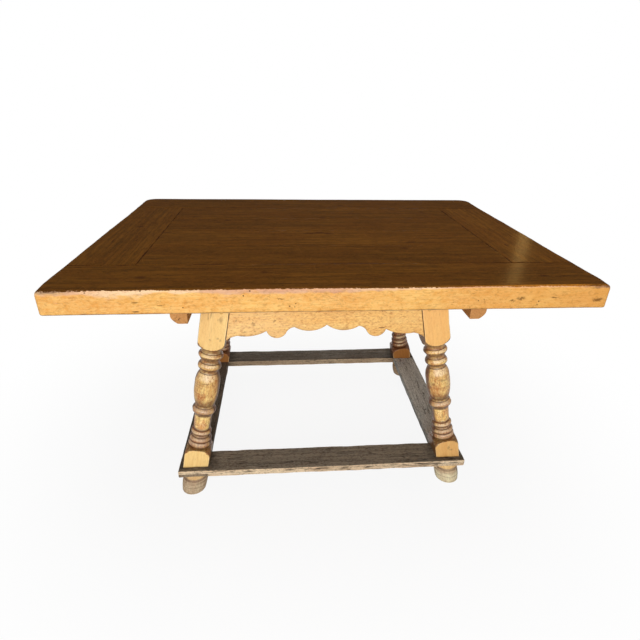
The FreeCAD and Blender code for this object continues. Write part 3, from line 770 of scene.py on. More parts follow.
plankCount = len([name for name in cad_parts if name.startswith("top_plank_")])
plankWidth = 2 * panelHalfY / plankCount
frameSeam, plankSeam = topStyle["frameSeam"], topStyle["plankSeam"]
for face, y in faces:
    span = sorted((y * panelHalfY, y * topHalfY))
    addTopBoard(f"top_{face}_rail", (-topHalfX, span[0]), (topHalfX, span[1]),
                (0, frameSeam * (y > 0)), (0, frameSeam * (y < 0)), 0, 0.0 if y < 0 else topStyle["backTone"])
for side, x in sides:
    span = sorted((x * panelHalfX, x * topHalfX))
    # the right end board takes the painted sheen
    addTopBoard(f"top_{side}_end_board", (span[0], -panelHalfY), (span[1], panelHalfY),
                (frameSeam * (x > 0), frameSeam), (frameSeam * (x < 0), frameSeam), 1,
                0.0 if x < 0 else topStyle["rightSheen"])
for index, tone in zip(range(plankCount), topStyle["plankTones"]):
    front = -panelHalfY + index * plankWidth
    addTopBoard(f"top_plank_{index + 1}", (-panelHalfX, front), (panelHalfX, front + plankWidth),
                (frameSeam, plankSeam if index else frameSeam),
                (frameSeam, plankSeam if index < plankCount - 1 else frameSeam), 0, tone)
print("top boards made")


# rounds the arrises of a box-like board by wear, with a radius that wavers along them
def wearBox(points, low, high, arris, arrisWear, lumps=0.06, faceWave=0.0004):
    low, high = np.asarray(low, float), np.asarray(high, float)
    worn = points.copy()
    wearAndHighlight = np.zeros(len(points))
    for i, point in enumerate(points):
        size = arris + arrisWear * ripple(point, lumps, 3)
        size = min(max(size, 0.25 * arris), arris + arrisWear)
        centre = np.clip(point, low + size, high - size)
        reach = point - centre
        length = np.linalg.norm(reach)
        if length > 1e-9:
            worn[i] = centre + reach * (np.abs(reach).max() / length)
            wearAndHighlight[i] = np.sort(np.abs(reach))[1] / size
        inward = (0.5 * (low + high) - point) / (high - low)
        side = np.argmax(np.abs(inward))
        worn[i, side] += np.sign(inward[side]) * faceWave * swell(point, 0.07)
    return worn, np.clip(wearAndHighlight, 0, 1)


# battens under the top

battenStyle = dict(
    curveWidth=0.018, curveHeight=0.026, curveBulge=0.0049, arris=0.0025, arrisWear=0.0018,
    edgeLines=(0, 0.001, 0.0022, 0.0045), steps=(0.009, 0.014, 0.004), topDirt=0.8, dirtReach=0.006,
    endReach=0.004, battenSideShade=-0.3,
)


def addBatten(side, x):
    style = battenStyle
    low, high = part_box(f"{side}_batten")
    edges = style["edgeLines"]
    points, quads = latticeSkin(*[latticeLine(low[axis], high[axis], edges, edges, step)
                                  for axis, step in enumerate(style["steps"])])
    worn, wearAndHighlight = wearBox(points, low, high, style["arris"], style["arrisWear"])
    # the lower outer corner is rounded off, from the batten's foot to the height of the curve
    inner = low.x if x > 0 else high.x
    width = high.x - low.x
    rise = np.clip((worn[:, 2] - low.z) / style["curveHeight"], 0, 1)
    chord = math.hypot(style["curveWidth"], style["curveHeight"])
    bulge = style["curveBulge"] * 4 * rise * (1 - rise) * chord / style["curveHeight"]
    rounded = np.maximum(0, style["curveWidth"] * (1 - rise) - bulge)
    worn[:, 0] = inner + (worn[:, 0] - inner) * (1 - rounded / width)
    dirt = nearness(high.z - worn[:, 2], style["dirtReach"]) * style["topDirt"]
    # painted shade: the batten is darker past its front end
    tone = np.where(worn[:, 1] - low.y > style["endReach"], style["battenSideShade"], 0.0)
    addPiece(f"{side}_batten", battenWood, worn, quads, worn[:, [1, 0, 2]], wearAndHighlight, dirt, tone)


for side, x in sides:
    addBatten(side, x)
print("battens made")


# legs: turned between square blocks, as the solids are

legStyle = dict(
    footX=0.424, footY=0.323, headX=0.295, headY=0.245, block=0.078,
    headBlock=0.218, headShoulder=0.037, footBlock=0.058, footShoulder=0.027,
    coverShare=1.44, neckShare=0.77, arris=0.0020, arrisWear=0.0018, leastArris=0.0008, mostArris=0.006,
    blend=0.0016, outOfRound=0.0009, faceWave=0.0006, groove=0.008, chip=0.0050, deepestChip=0.35, chipFrom=0.42,
    footRings=(0, 0.03, 0.08, 0.25, 0.5, 0.75),
    headRings=(0.1, 0.2, 0.32, 0.44, 0.56, 0.68, 0.8, 0.9, 0.96, 0.985, 1.0),
)
legAge = dict(
    hollowDirt=0.62, slopeShade=0.8, slopeGain=3.2, endLine=0.0016, shoulder=0.002, shoulderShade=0.75,
    lowRings=0.075, lowRingDirt=0.3, crestWear=0.8, sideShade=0.9, sideShadeBehind=0.3, sideShadeFrom=0.64,
    sideShadeInside=0.16, sideShadeSoft=0.5, sideShadeOnWear=0.7, column=(0.16, 0.03, 0.37, 0.03), columnHighlight=0.3,
    columnTone=0.2, bigRing=(0.335, 0.03, 0.435, 0.02), bigRingTinge=0.9, joinDirt=0.9, joinReach=0.005,
)
# kind of stretch, share of the turned length, share of half the block
turningShares = (
    ("reach", 0.034, 0.933), ("leave", 0.063, 0.820), ("reach", 0.086, 0.885), ("leave", 0.110, 0.730),
    ("reach", 0.124, 0.654), ("leave", 0.137, 0.730), ("reach", 0.157, 0.820), ("leave", 0.180, 0.656),
    ("line", 0.320, 0.692), ("leave", 0.359, 0.808), ("reach", 0.389, 0.944), ("leave", 0.421, 0.770),
    ("reach", 0.434, 0.733), ("leave", 0.447, 0.770), ("reach", 0.605, 0.974), ("line", 0.672, 0.974),
    ("leave", 0.769, 0.733), ("reach", 0.784, 0.700), ("leave", 0.801, 0.770), ("reach", 0.827, 0.897),
    ("leave", 0.863, 0.751), ("reach", 0.883, 0.700), ("leave", 0.900, 0.759), ("line", 0.902, 0.800),
    ("line", 0.912, 0.800), ("reach", 0.936, 0.949), ("leave", 0.960, 0.815), ("reach", 0.979, 0.764),
    ("leave", 1.000, 0.800),
)
halfBlock = legStyle["block"] / 2
leanX = (legStyle["footX"] - legStyle["headX"]) / underZ
leanY = (legStyle["footY"] - legStyle["headY"]) / underZ
axisStretch = math.sqrt(1 + leanX ** 2 + leanY ** 2)


def legMatrix(x, y):
    axis = Vector((-x * leanX, -y * leanY, 1)).normalized()
    back = Vector((0, axis.z, -axis.y)).normalized()
    right = back.cross(axis)
    place = Matrix((right, back, axis)).transposed().to_4x4()
    place.translation = (x * legStyle["footX"], y * legStyle["footY"], 0)
    return place


# points of an arc that runs along the axis at its crest
def halfArc(crest, end, count):
    rise = end[0] - crest[0]
    fall = crest[1] - end[1]
    radius = (rise ** 2 + fall ** 2) / (2 * fall)
    turn = math.atan2(rise / radius, (radius - fall) / radius)
    return [(crest[0] + radius * math.sin(turn * n / count), crest[1] - radius * (1 - math.cos(turn * n / count)))
            for n in range(count + 1)]


# profile of a turned piece as heights and radii, from its first point through its steps
def turnedProfile(first, steps, arcStep=0.0030, lineStep=0.012):
    line = [first]
    for kind, height, radius in steps:
        here, there = line[-1], (height, radius)
        arcCount = max(5, round(math.dist(here, there) / arcStep))
        if kind == "line":
            count = max(1, round(abs(height - here[0]) / lineStep))
            line += [(here[0] + (height - here[0]) * n / count, here[1] + (radius - here[1]) * n / count)
                     for n in range(1, count + 1)]
        elif kind == "reach":
            line += halfArc(there, here, arcCount)[::-1][1:]
        else:
            line += halfArc(here, there, arcCount)[1:]
    return np.array(line)


# angles round a leg: closer together by the corners of its square
quarterAngles = (-45, -44.2, -43, -41, -38, -33, -27, -21, -15, -9, -3, 3, 9, 15, 21, 27, 33, 38, 41, 43, 44.2)
legAngles = np.radians([quarter + angle for quarter in (0, 90, 180, 270) for angle in quarterAngles])


# how far the side of a square with rounded corners is from its middle, at an angle
def squareReach(angle, corner):
    alongX, alongY = abs(math.cos(angle)), abs(math.sin(angle))
    flat = halfBlock / max(alongX, alongY)
    inner = halfBlock - corner
    if flat * min(alongX, alongY) <= inner:
        return flat
    middle = inner * (alongX + alongY)
    return middle + math.sqrt(max(0, middle ** 2 - 2 * inner ** 2 + corner ** 2))


def softMin(first, second, width):
    overlap = max(width - abs(first - second), 0) / width
    return min(first, second) - overlap * overlap * width / 4


# skin of rings, closed by a fan at each end
def ringSkin(rings):
    count = len(rings[0])
    points = [point for ring in rings for point in ring]
    quads = []
    for n in range(len(rings) - 1):
        for k in range(count):
            following = (k + 1) % count
            quads.append((n * count + k, n * count + following, (n + 1) * count + following, (n + 1) * count + k))
    for ring, start, order in ((rings[0], 0, -1), (rings[-1], (len(rings) - 1) * count, 1)):
        points.append(tuple(np.mean(ring, 0)))
        for k in range(count):
            pair = (start + k, start + (k + 1) % count)[::order]
            quads.append((*pair, len(points) - 1))
    return np.array(points, float), quads


# dirt in the hollows of a profile and wear on its crests
def hollowsAndCrests(profile, heights, radii, reach, fullDepth=0.0022):
    spread = np.linspace(-reach, reach, 9)
    around = np.mean([np.interp(heights + d, profile[:, 0], profile[:, 1]) for d in spread], 0)
    depth = (around - radii) / fullDepth
    return np.clip(depth, 0, 1), np.clip(-depth, 0, 1)


def addLeg(name, x, y, material, tone, footTone, pinkness):
    style, age = legStyle, legAge
    low = stretcherTop * axisStretch + style["footBlock"]
    high = underZ * axisStretch - style["headBlock"]
    cover = style["coverShare"] * halfBlock
    steps = [("leave", low, style["neckShare"] * halfBlock)]
    steps += [(kind, low + along * (high - low), share * halfBlock) for kind, along, share in turningShares]
    steps.append(("reach", high + style["headShoulder"], cover))
    profile = turnedProfile((low - style["footShoulder"], cover), steps)
    place = legMatrix(x, y)
    seed = random.Random(name).uniform(0, 50)
    firstHeight, lastHeight = profile[0, 0], profile[-1, 0]
    # heights of the rings: the blocks at both ends reach to the level faces that they stand between
    stations = [("foot", share) for share in style["footRings"]]
    stations += [("turned", n) for n in range(len(profile))]
    stations += [("head", share) for share in style["headRings"]]
    rings, rows = [], []
    for kind, value in stations:
        turned = kind == "turned"
        rough = profile[value, 0] if turned else firstHeight if kind == "foot" else lastHeight
        ring = []
        for angle in legAngles:
            alongX, alongY = math.cos(angle), math.sin(angle)
            corner = round((angle - math.pi / 4) / (math.pi / 2)) % 4
            eased = style["arris"] + style["arrisWear"] * ripple((corner * 3 + seed, value, rough), 0.25)
            square = squareReach(angle, min(max(eased, style["leastArris"]), style["mostArris"]))
            radius = softMin(profile[value, 1], square, style["blend"]) if turned else square
            level = stretcherTop if kind == "foot" else underZ
            end = (level - radius * (alongX * place[2][0] + alongY * place[2][1])) / place[2][2]
            if turned:
                height = profile[value, 0]
            elif kind == "foot":
                height = end + (firstHeight - end) * value
            else:
                height = lastHeight + (end - lastHeight) * value
            spot = (alongX * radius + seed, alongY * radius, height)
            radius -= style["faceWave"] * swell((spot[0], spot[1], height * 0.6), 0.045)
            radius -= style["outOfRound"] * swell(spot, 0.12)
            radius -= style["chip"] * min(style["deepestChip"], max(0, ripple(spot, 0.022) - style["chipFrom"]))
            ring.append((radius * alongX, radius * alongY, height))
            # what the finish reads: wear of the corners, and which way the face looks
            toCorner = min((math.degrees(angle) - 45) % 90, (45 - math.degrees(angle)) % 90)
            onSquare = smooth((profile[value, 1] - square + 0.0004) / 0.0016) if turned else 1.0
            faceAngle = round(angle / (math.pi / 2)) * math.pi / 2 if onSquare > 0.5 else angle
            rows.append((height, radius, max(0, 1 - toCorner / 4) * onSquare, onSquare, -math.sin(faceAngle),
                         max(0, -x * math.cos(faceAngle))))
        rings.append(ring)
    points, quads = ringSkin(rings)
    rows += [(points[n, 2], 0, 0, 1, 0, 0) for n in (-2, -1)]
    heights, radii, squareWear, onFlat, frontness, inwardness = np.array(rows, float).T
    dirt, wearAndHighlight = hollowsAndCrests(profile, heights, radii, style["groove"])
    # painted shade on what looks down, and a painted highlight on the front of what looks up
    slope = np.gradient(profile[:, 1], profile[:, 0] + 1e-7 * np.arange(len(profile)))
    slope = np.interp(heights, profile[:, 0], slope)
    dirt = np.maximum(age["hollowDirt"] * dirt, age["slopeShade"] * smooth(age["slopeGain"] * slope))
    facing = np.clip(frontness, 0, 1)
    wearAndHighlight = np.maximum(wearAndHighlight, facing ** 2 * smooth(-age["slopeGain"] * slope))
    # a thin dark line wherever one turned form ends
    for kind, along, _ in turningShares:
        if kind == "leave":
            dirt = np.maximum(dirt, nearness(np.abs(heights - low - along * (high - low)), age["endLine"]))
    # painted shade on the shoulders, and grime on the lowest rings
    shoulder = (heights < low + age["shoulder"]) | (heights > high - age["shoulder"])
    lowRings = between(heights, low, 0.01, low + age["lowRings"], 0.03)
    dirt = np.maximum(np.where(shoulder, age["shoulderShade"], dirt), age["lowRingDirt"] * lowRings)
    dirt = dirt * (1 - onFlat)
    wearAndHighlight = np.where(shoulder, 0, wearAndHighlight * (1 - onFlat))
    wearAndHighlight = np.maximum(wearAndHighlight * age["crestWear"], squareWear)
    # painted shade on the sides and the back, a little lighter at the back, with less pale wear there
    unseen = smooth((age["sideShadeFrom"] + age["sideShadeInside"] * inwardness - facing) / age["sideShadeSoft"])
    behind = np.clip(-frontness, 0, 1)
    dirt = np.maximum(dirt, (age["sideShade"] - age["sideShadeBehind"] * behind) * unseen)
    wearAndHighlight = wearAndHighlight * (1 - age["sideShadeOnWear"] * unseen)
    share = (heights - low) / (high - low)
    # painted highlight on the front of the column
    column = between(share, *age["column"])
    wearAndHighlight = np.maximum(wearAndHighlight, age["columnHighlight"] * column * facing ** 2)
    bigRing = between(share, *age["bigRing"])
    tinge = pinkness * np.maximum(lowRings, age["bigRingTinge"] * bigRing) * (1 - onFlat)
    world = np.array([place @ Vector(p) for p in points])
    for toJoin in (world[:, 2] - stretcherTop, underZ - world[:, 2]):
        dirt = np.maximum(dirt, nearness(toJoin, age["joinReach"]) * age["joinDirt"])
    tones = np.where(heights < low, footTone, tone + age["columnTone"] * column)
    addPiece(name + "_leg", material, world, quads, points[:, [2, 0, 1]], wearAndHighlight, dirt, tones, 50,
             cover=np.where(onFlat > 0.5, 2.0, -2.0), tinge=tinge)


# wood, tone, tone of the foot block, pinkness of the rings; the back legs take the shaded copy as painted shade
legFinishes = ((legWood, 0.04, 0.09, 0.95), (warmLegWood, 0.1, -0.05, 0.7), (brownLegWood, 0.1, 0.1, 0.4),
               (brownLegWood, 0.0, 0.0, 0.1))
for (name, x, y), finish in zip(corners, legFinishes):
    addLeg(name, x, y, *finish)
print("legs made")


# feet under the corners of the stretchers

footStyle = dict(
    radius=0.0395, soleShare=0.900, soleRun=0.040, soleEase=0.0012, outOfRound=0.0010, groove=0.010, around=72,
    lines=((0.60, 0.035, 0.9), (0.47, 0.025, 0.7), (0.30, 0.03, 0.7), (0.06, 0.05, 0.5)),
    hollowDirt=0.6, joinDirt=0.8, joinReach=0.004, sideShade=0.45, crestWear=0.6, collarFrom=0.655, paleBelow=0.56,
)
footShares = (
    ("line", 0.020, 0.940), ("reach", 0.380, 1.000), ("leave", 0.620, 0.920),
    ("line", 0.645, 0.880), ("reach", 0.740, 0.970), ("leave", 1.000, 0.940),
)


def addFoot(name, x, y, tone, tinge):
    style = footStyle
    full = stretcherBottom * axisStretch
    steps = [(kind, along * full, share * style["radius"]) for kind, along, share in footShares]
    steps.append(("line", full + style["soleRun"], steps[-1][2]))
    profile = turnedProfile((-style["soleRun"], style["soleShare"] * style["radius"]), steps)
    place = legMatrix(x, y)
    seed = random.Random(name + "foot").uniform(0, 50)
    inside = profile[(profile[:, 0] > 0) & (profile[:, 0] < full), 0] / full
    rings, heights, radii = [], [], []
    for share in np.concatenate([[0, 0.008], inside[inside > 0.012], [1.0]]):
        ring = []
        for angle in np.linspace(0, 2 * math.pi, style["around"], endpoint=False):
            alongX, alongY = math.cos(angle), math.sin(angle)
            slope = alongX * place[2][0] + alongY * place[2][1]
            radius = np.interp(share * full, profile[:, 0], profile[:, 1])
            if share == 0:
                radius -= style["soleEase"]
            spot = (alongX * radius + seed, alongY * radius, share * full)
            radius -= style["outOfRound"] * swell(spot, 0.03, 3)
            bottom = -radius * slope / place[2][2]
            head = (stretcherBottom - radius * slope) / place[2][2]
            ring.append((radius * alongX, radius * alongY, bottom + (head - bottom) * share))
            heights.append(share * full)
            radii.append(radius)
        rings.append(ring)
    points, quads = ringSkin(rings)
    heights = np.array(heights + [0, full])
    radii = np.array(radii + [0, 0])
    dirt, wearAndHighlight = hollowsAndCrests(profile, heights, radii, style["groove"])
    dirt = np.maximum(dirt * style["hollowDirt"], nearness(full - heights, style["joinReach"]) * style["joinDirt"])
    # painted shade on the sides and the back
    unseen = smooth((0.55 + np.sin(np.arctan2(points[:, 1], points[:, 0]))) / 0.5)
    dirt = np.maximum(dirt, style["sideShade"] * unseen)
    for line, size, strength in style["lines"]:
        dirt = np.maximum(dirt, strength * np.exp(-((heights / full - line) / size) ** 2))
    collar = smooth((heights / full - style["collarFrom"]) / 0.03)
    pale = tinge * smooth((style["paleBelow"] - heights / full) / 0.2)
    world = np.array([place @ Vector(p) for p in points])
    addPiece(name + "_foot", footWood, world, quads, points[:, [2, 0, 1]], wearAndHighlight * style["crestWear"],
             dirt, tone, 50, cover=collar, tinge=pale)


# tone, and how pale the lower half is
footFinishes = ((0.07, 0.2), (0.18, 0.95), (0.0, 0.0), (0.0, 0.0))
for (name, x, y), finish in zip(corners, footFinishes):
    addFoot(name, x, y, *finish)
print("feet made")


# stretchers: the long ones keep the upper half of each corner, the short ones the lower

stretcherStyle = dict(
    width=0.090, step=0.013, acrossStep=0.012, edgeLines=(0, 0.0008, 0.0018, 0.0032, 0.0050, 0.0076),
    arris=0.0042, arrisWear=0.0030, lumps=0.05, faceWave=0.0006, footWear=0.0026, footReach=0.045, footRun=0.8,
    edgeReach=0.004, dashDirt=0.9, dashBelow=0.009, dashHalf=0.005, legDirt=0.6, legReach=0.06,
    innerDirt=0.5, innerReach=0.012, frontFall=0.3, fallFrom=-0.02, fallRun=0.26,
    # tones: the right one lighter as painted sheen, the back and left ones darker as painted shade
    tones=(0.08, -0.32, -0.26, 0.29),
)


def addStretcher(face, x, y, tone):
    style = stretcherStyle
    node = face + "_stretcher"
    low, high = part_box(node)
    low = Vector((low.x, low.y, stretcherBottom))
    high = Vector((high.x, high.y, stretcherTop))
    halfway = (stretcherBottom + stretcherTop) / 2
    edges = style["edgeLines"]
    along = 0 if y else 1
    across = 1 - along
    joints = (low[along] + style["width"], high[along] - style["width"])
    lines = [latticeLine(low[axis], high[axis], edges, edges, style["step" if axis == along else "acrossStep"])
             for axis in (0, 1)]
    # a lattice line where each corner joint begins
    for joint in joints:
        lines[along][np.argmin(np.abs(lines[along] - joint))] = joint
    zs = np.array(sorted([low.z + d for d in edges] + [halfway] + [high.z - d for d in edges]))
    cellAlong = (lines[along][1:] + lines[along][:-1]) / 2
    atJoint = (cellAlong < joints[0]) | (cellAlong > joints[1])
    cellZ = (zs[1:] + zs[:-1]) / 2
    cutAway = cellZ < halfway if y else cellZ > halfway
    filled = wholeCells(*lines, zs)
    filled &= ~(np.expand_dims(atJoint, (across, 2)) & cutAway)
    points, quads = latticeSkin(*lines, zs, filled)
    worn, wearAndHighlight = wearBox(points, low, high, style["arris"], style["arrisWear"], style["lumps"], style["faceWave"])
    # the outer upper arris is rubbed down by feet
    edge = high[across] if x + y > 0 else low[across]
    inFrom = np.abs(worn[:, across] - edge)
    run = style["footRun"] * (high[along] - low[along])
    middle = np.clip(1 - (2 * (worn[:, along] - (low[along] + high[along]) / 2) / run) ** 2, 0, 1)
    rubbed = style["footWear"] * middle * nearness(inFrom, style["footReach"]) ** 2
    worn[:, 2] -= rubbed * np.clip((worn[:, 2] - halfway) / (stretcherTop - halfway), 0, 1)
    grain = worn if along == 0 else worn[:, [1, 0, 2]]
    if y:
        # old polish is left in dashes below the rubbed arris of the long edges; by the legs lies a painted shadow
        dashes = smooth(0.6 + 1.6 * ripples(worn * np.array([1, 1, 3]), 0.035, 3))
        dashes *= np.exp(-((stretcherTop - style["dashBelow"] - worn[:, 2]) / style["dashHalf"]) ** 2)
        dashes *= inFrom < style["edgeReach"]
        legSide = legStyle["footX"] - leanX * stretcherTop - halfBlock
        byLeg = smooth(1 - (legSide - np.abs(worn[:, 0])) / style["legReach"]) * (inFrom > style["edgeReach"])
        dirt = np.maximum(style["dashDirt"] * dashes, style["legDirt"] * byLeg)
        cover = -1.0
    else:
        dirt = style["innerDirt"] * smooth(1 - (style["width"] - inFrom) / style["innerReach"])
        tone = tone - style["frontFall"] * smooth((style["fallFrom"] - worn[:, 1]) / style["fallRun"])
        # the sides of the short ones are as dark as their tops, and their front ends bare
        cover = np.where(worn[:, 1] - low.y < style["edgeReach"], -1, 1)
    # the right stretcher takes the painted sheen
    material = greyStretcherWood if x > 0 else stretcherWood
    addPiece(node, material, worn, quads, grain, wearAndHighlight, dirt, tone, cover=cover)


for (face, x, y), tone in zip(fourSides, stretcherStyle["tones"]):
    addStretcher(face, x, y, tone)
print("stretchers made")


# aprons between the heads of the legs

apronStyle = dict(
    thickness=0.026, depth=0.196, setback=0.002, gap=0.0003, topGap=0.0002, arris=0.0018, arrisWear=0.0012,
    leastArris=0.0006, mostArris=0.0035, faceWave=0.0006, startShare=0.684, arcPoints=12, rows=9, thickStep=0.009,
    edgeLines=(0, 0.0006, 0.0013, 0.0022, 0.0036), joinDirt=0.9, topReach=0.004, legReach=0.003,
    lowerEdgeDark=0.6, edgeReach=0.010, edgeWear=0.7, paleShare=0.45, paleFrom=0.02, paleRun=0.22,
    tones=(0.06, 0.0, 0.0, 0.0),
)
# each arc's middle and end from the middle of the apron to the leg: shares of half the span and of the depth
apronEdgeShares = (
    ((0.140, 0.770), (0.318, 0.710)), ((0.365, 0.736), (0.394, 0.780)), ((0.484, 0.877), (0.590, 0.766)),
    ((0.735, 0.838), (0.872, 0.832)), ((0.965, 0.882), (1.040, 1.000)),
)


# points on the circle through three points, from the first to the last
def arcThrough(first, middle, last, count):
    a, b, c = (complex(*p) for p in (first, middle, last))
    w = (c - a) / (b - a)
    centre = (b - a) * (w - abs(w) ** 2) / (2j * w.imag) + a
    start, halfTurn, finish = (math.atan2((p - centre).imag, (p - centre).real) for p in (a, b, c))
    turn = (finish - start) % (2 * math.pi)
    if (halfTurn - start) % (2 * math.pi) > turn:
        turn -= 2 * math.pi
    radius = abs(a - centre)
    return [(centre.real + radius * math.cos(start + turn * n / count),
             centre.imag + radius * math.sin(start + turn * n / count)) for n in range(count + 1)]


def addApron(face, x, y, tone):
    style = apronStyle
    thickness = style["thickness"]
    out = Vector((x, y, 0))
    lean, legLean = (leanY, leanX) if y else (leanX, leanY)
    reach, legFoot = (legStyle[key] for key in (("footY", "footX") if y else ("footX", "footY")))
    up = (Vector((0, 0, 1)) - out * lean).normalized()
    normal = (out + Vector((0, 0, lean))).normalized()
    right = up.cross(normal)
    outside = halfBlock - style["setback"]
    base = out * reach + normal * (outside - thickness)
    top = (underZ - outside * normal.z) / up.z
    legSlope = legLean * up.z
    toLegFace = halfBlock * math.sqrt(1 + legSlope ** 2)

    # how far the apron may reach from its middle at a height
    def legFace(height, gap=style["gap"]):
        return legFoot - legSlope * height - toLegFace - gap

    span = legFace(top - style["depth"], 0)

    def outlinePoint(alongShare, depthShare):
        return (alongShare * span, top - depthShare * style["depth"])

    here = outlinePoint(0, style["startShare"])
    lower = [here]
    for middle, end in apronEdgeShares:
        there = outlinePoint(*end)
        lower += arcThrough(here, outlinePoint(*middle), there, style["arcPoints"])[1:]
        here = there
    kept = [p for p in lower if p[0] < legFace(p[1]) - 0.0005]
    last, beyond = kept[-1], lower[len(kept)]
    share = (legFace(last[1]) - last[0]) / max(1e-6, beyond[0] - last[0])
    kept.append((legFace(last[1]), last[1] + (beyond[1] - last[1]) * min(1, share)))
    columns = np.array([(-p[0], p[1]) for p in kept[:0:-1]] + kept)
    # the lattice counts columns and rows, which then follow the outline
    edges = np.array(style["edgeLines"])
    thick = latticeLine(0, thickness, edges, edges, style["thickStep"])
    ids, quads = latticeSkin(np.arange(len(columns)), thick, np.arange(len(edges) + style["rows"]))
    column, row = ids[:, 0].astype(int), ids[:, 2].astype(int)
    depthAt = ids[:, 1]
    lowX, lowY = columns[column, 0], columns[column, 1]
    highY = (underZ - style["topGap"] - base.z - normal.z * depthAt) / up.z
    firstRun = edges[np.minimum(row, len(edges) - 1)]
    laterShare = np.clip((row - len(edges) + 1) / style["rows"], 0, 1)
    height = lowY + firstRun + (highY - lowY - firstRun) * laterShare
    # columns lean with the legs
    along = lowX * legFace(height) / legFace(lowY)
    wearAndHighlight = np.zeros(len(ids))
    dirt = nearness(highY - height, style["topReach"]) * style["joinDirt"]
    dirt = np.maximum(dirt, nearness(legFace(height, 0) - np.abs(along), style["legReach"]) * style["joinDirt"])
    # darker along the lower edge
    dirt = np.maximum(dirt, nearness(height - lowY, style["edgeReach"]) * style["lowerEdgeDark"])
    tinge = style["paleShare"] * smooth((style["paleFrom"] - along) / style["paleRun"])
    for i in range(len(ids)):
        spot = (along[i] + 7 * x + 3 * y, height[i], 0)
        size = style["arris"] + style["arrisWear"] * ripple(spot, 0.04)
        size = min(max(size, style["leastArris"]), style["mostArris"])
        u = size - min(depthAt[i], thickness - depthAt[i])
        v = size - (height[i] - lowY[i])
        if u > 0 and v > 0:
            share = max(u, v) / math.hypot(u, v)
            wearAndHighlight[i] = min(u, v) / size
            height[i] = lowY[i] + size - v * share
            inside = size - u * share
            depthAt[i] = inside if depthAt[i] < thickness / 2 else thickness - inside
        towards = 1 if depthAt[i] < thickness / 2 else -1
        depthAt[i] += towards * style["faceWave"] * swell(spot, 0.06)
    world = np.array([base + right * a + up * h + normal * d for a, h, d in zip(along, height, depthAt)])
    grain = np.column_stack([along, height - top, depthAt])
    addPiece(face + "_apron", apronWood, world, quads, grain, wearAndHighlight * style["edgeWear"], dirt, tone,
             tinge=tinge)


for (face, x, y), tone in zip(fourSides, apronStyle["tones"]):
    addApron(face, x, y, tone)
print("aprons made")


# pegs stay as the solids are, with a finish of their own

pegStyle = dict(
    ringSize=0.004, warp=0.01, crackAmount=0.5, crackShare=0.7, roughness=(0.45, 0.7), specular=0.0, coat=0.022,
    bump=0.5, relief=0.5 * millimetre,
)


def makePegWood(name, finish, dirt):
    style = pegStyle
    material, tree = newMaterial(name)
    place = objectPlace(tree)
    grainOut = placeGroup(tree, grainGroup, Grain=place, RingSize=style["ringSize"], Warp=style["warp"])
    ageOut = placeGroup(tree, ageGroup, Grain=place)
    cracks = placeGroup(tree, crackGroup, Grain=place, Amount=style["crackAmount"])["Cracks"]
    colour = layTint(tree, cracks, style["crackShare"], woodColour(tree, finish, grainOut, ageOut), dirt)
    height = minus(tree, grainOut["Fibre"], cracks)
    shader = shadeWood(tree, colour, grainOut["Fibre"], style["roughness"], height, style["bump"], style["relief"])
    shader.inputs["Specular IOR Level"].default_value = style["specular"]
    shader.inputs["Coat Weight"].default_value = style["coat"]
    return material


# the top frame pegs take the same dark wax and painted shade
darkPegWood = makePegWood("waxedShadedPegWood", darkWaxAndShade, tint(30, 18, 8))
honeyPegWood = makePegWood("legPegWood", legHoney, tint(90, 54, 26))
for name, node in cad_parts.items():
    if name.endswith("_pegs"):
        node.data.materials.clear()
        node.data.materials.append(darkPegWood if name == "top_frame_pegs" else honeyPegWood)
print("pegs finished")


# stage: a pale floor that keeps the shadow and fades to white

stageStyle = dict(
    floorRadius=14.0, floorSides=96, floorGrey=0.70, fadeFrom=0.5, fadeTo=1.5, shadowShare=0.10, worldLight=0.15,
)


# rays that see the backdrop straight, in gloss or through glass
def seenRays(tree):
    path = newNode(tree, "LightPath").outputs
    return largest(tree, [path[f"Is {kind} Ray"] for kind in ("Glossy", "Transmission", "Camera")])


def mixToOutput(tree, share, first, second, output):
    mixed = newNode(tree, "MixShader")
    for socket, value in zip(mixed.inputs, (share, first.outputs[0], second.outputs[0])):
        plug(tree, socket, value)
    plug(tree, newNode(tree, output).inputs[0], mixed.outputs[0])


def makeFloor():
    style = stageStyle
    count = style["floorSides"]
    turns = [2 * math.pi * n / count for n in range(count)]
    points = [(0, 0, 0)]
    points += [(style["floorRadius"] * math.cos(turn), style["floorRadius"] * math.sin(turn), 0) for turn in turns]
    mesh = bpy.data.meshes.new("paleFloor")
    mesh.from_pydata(points, [], [(0, n + 1, (n + 1) % count + 1) for n in range(count)])
    material, tree = newMaterial("paleFloor")
    fade = ramp(tree, vectorMath(tree, "LENGTH", objectPlace(tree)), style["fadeFrom"], style["fadeTo"])
    fade = plus(tree, times(tree, fade, style["shadowShare"]), 1 - style["shadowShare"])
    matt = newNode(tree, "BsdfDiffuse")
    matt.inputs["Color"].default_value = (style["floorGrey"], style["floorGrey"], style["floorGrey"], 1)
    white = newNode(tree, "Emission")
    white.inputs["Strength"].default_value = 1.0
    mixToOutput(tree, times(tree, fade, seenRays(tree)), matt, white, "OutputMaterial")
    mesh.materials.append(material)
    floor = bpy.data.objects.new("paleFloor", mesh)
    bpy.context.scene.collection.objects.link(floor)


def makeWorld():
    world = bpy.data.worlds.new("studio")
    world.use_nodes = True
    tree = world.node_tree
    tree.nodes.clear()
    soft, white = newNode(tree, "Background"), newNode(tree, "Background")
    for node, strength in ((soft, stageStyle["worldLight"]), (white, 1.0)):
        node.inputs["Color"].default_value = (1, 1, 1, 1)
        node.inputs["Strength"].default_value = strength
    mixToOutput(tree, seenRays(tree), soft, white, "OutputWorld")
    bpy.context.scene.world = world


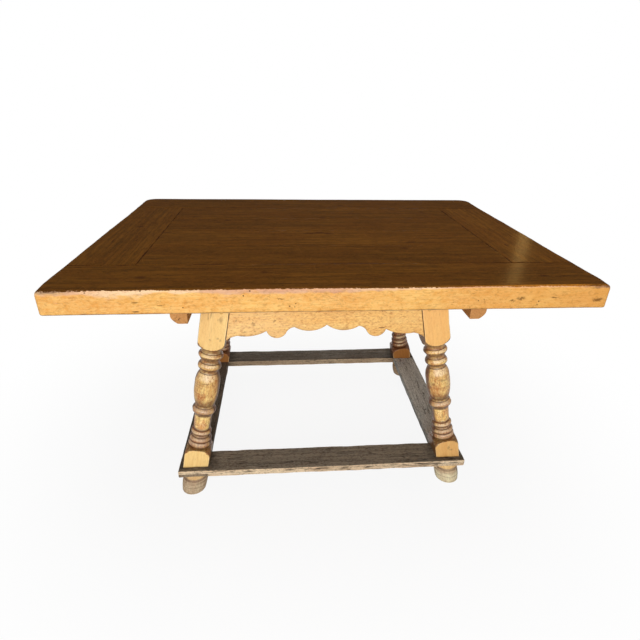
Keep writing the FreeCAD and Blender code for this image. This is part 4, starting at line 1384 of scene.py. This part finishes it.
lampStyles = (
    dict(name="frontSoftbox", place=(-0.45, -3.0, 1.45), aim=(0, -0.2, 0.5), width=1.7, height=1.1, power=65),
    dict(name="rearWindow", place=(1.95, 2.23, 1.45), aim=(0.5, 0, 0.7), width=0.09, height=1.0, power=7.5,
         colour=(1.0, 0.62, 0.2)),
    dict(name="rearFill", place=(0.4, 3.0, 0.62), aim=(0, 0.3, 0.5), width=1.7, height=0.7, power=30),
    dict(name="overheadSoftbox", place=(0.2, 0.1, 3.2), aim=(0, 0, 0.7), width=2.4, height=2.0, power=54),
)


def addLamp(style):
    lamp = bpy.data.lights.new(style["name"], "AREA")
    lamp.shape = "RECTANGLE"
    lamp.size = style["width"]
    lamp.size_y = style["height"]
    lamp.energy = style["power"]
    lamp.color = style.get("colour", (1, 1, 1))
    holder = bpy.data.objects.new(style["name"], lamp)
    holder.location = style["place"]
    away = Vector(style["place"]) - Vector(style["aim"])
    holder.rotation_euler = away.to_track_quat("Z", "Y").to_euler()
    bpy.context.scene.collection.objects.link(holder)


makeFloor()
makeWorld()
for style in lampStyles:
    addLamp(style)

# angles in radians, focal length and width of the picture in pixels
cameraStyle = dict(
    place=(-0.1230, -1.4508, 1.1630), yaw=0.0887, pitch=0.46055, roll=-0.02309, focal=456.23, picture=640, sensor=36,
)


def addCamera(style):
    yaw, pitch, roll = style["yaw"], style["pitch"], style["roll"]
    forward = Vector((math.sin(yaw) * math.cos(pitch), math.cos(yaw) * math.cos(pitch), -math.sin(pitch)))
    right = Vector((math.cos(yaw), -math.sin(yaw), 0))
    down = forward.cross(right)
    right, down = (math.cos(roll) * right + math.sin(roll) * down, -math.sin(roll) * right + math.cos(roll) * down)
    view = Matrix((right, -down, -forward)).transposed().to_4x4()
    view.translation = style["place"]
    lens = bpy.data.cameras.new("photoCamera")
    lens.sensor_width = style["sensor"]
    lens.lens = lens.sensor_width * style["focal"] / style["picture"]
    lens.clip_start = 0.01
    camera = bpy.data.objects.new("photoCamera", lens)
    camera.matrix_world = view
    bpy.context.scene.collection.objects.link(camera)
    bpy.context.scene.camera = camera


addCamera(cameraStyle)
bpy.context.scene.view_settings.view_transform = "Standard"
print("stage, lamps and camera set")
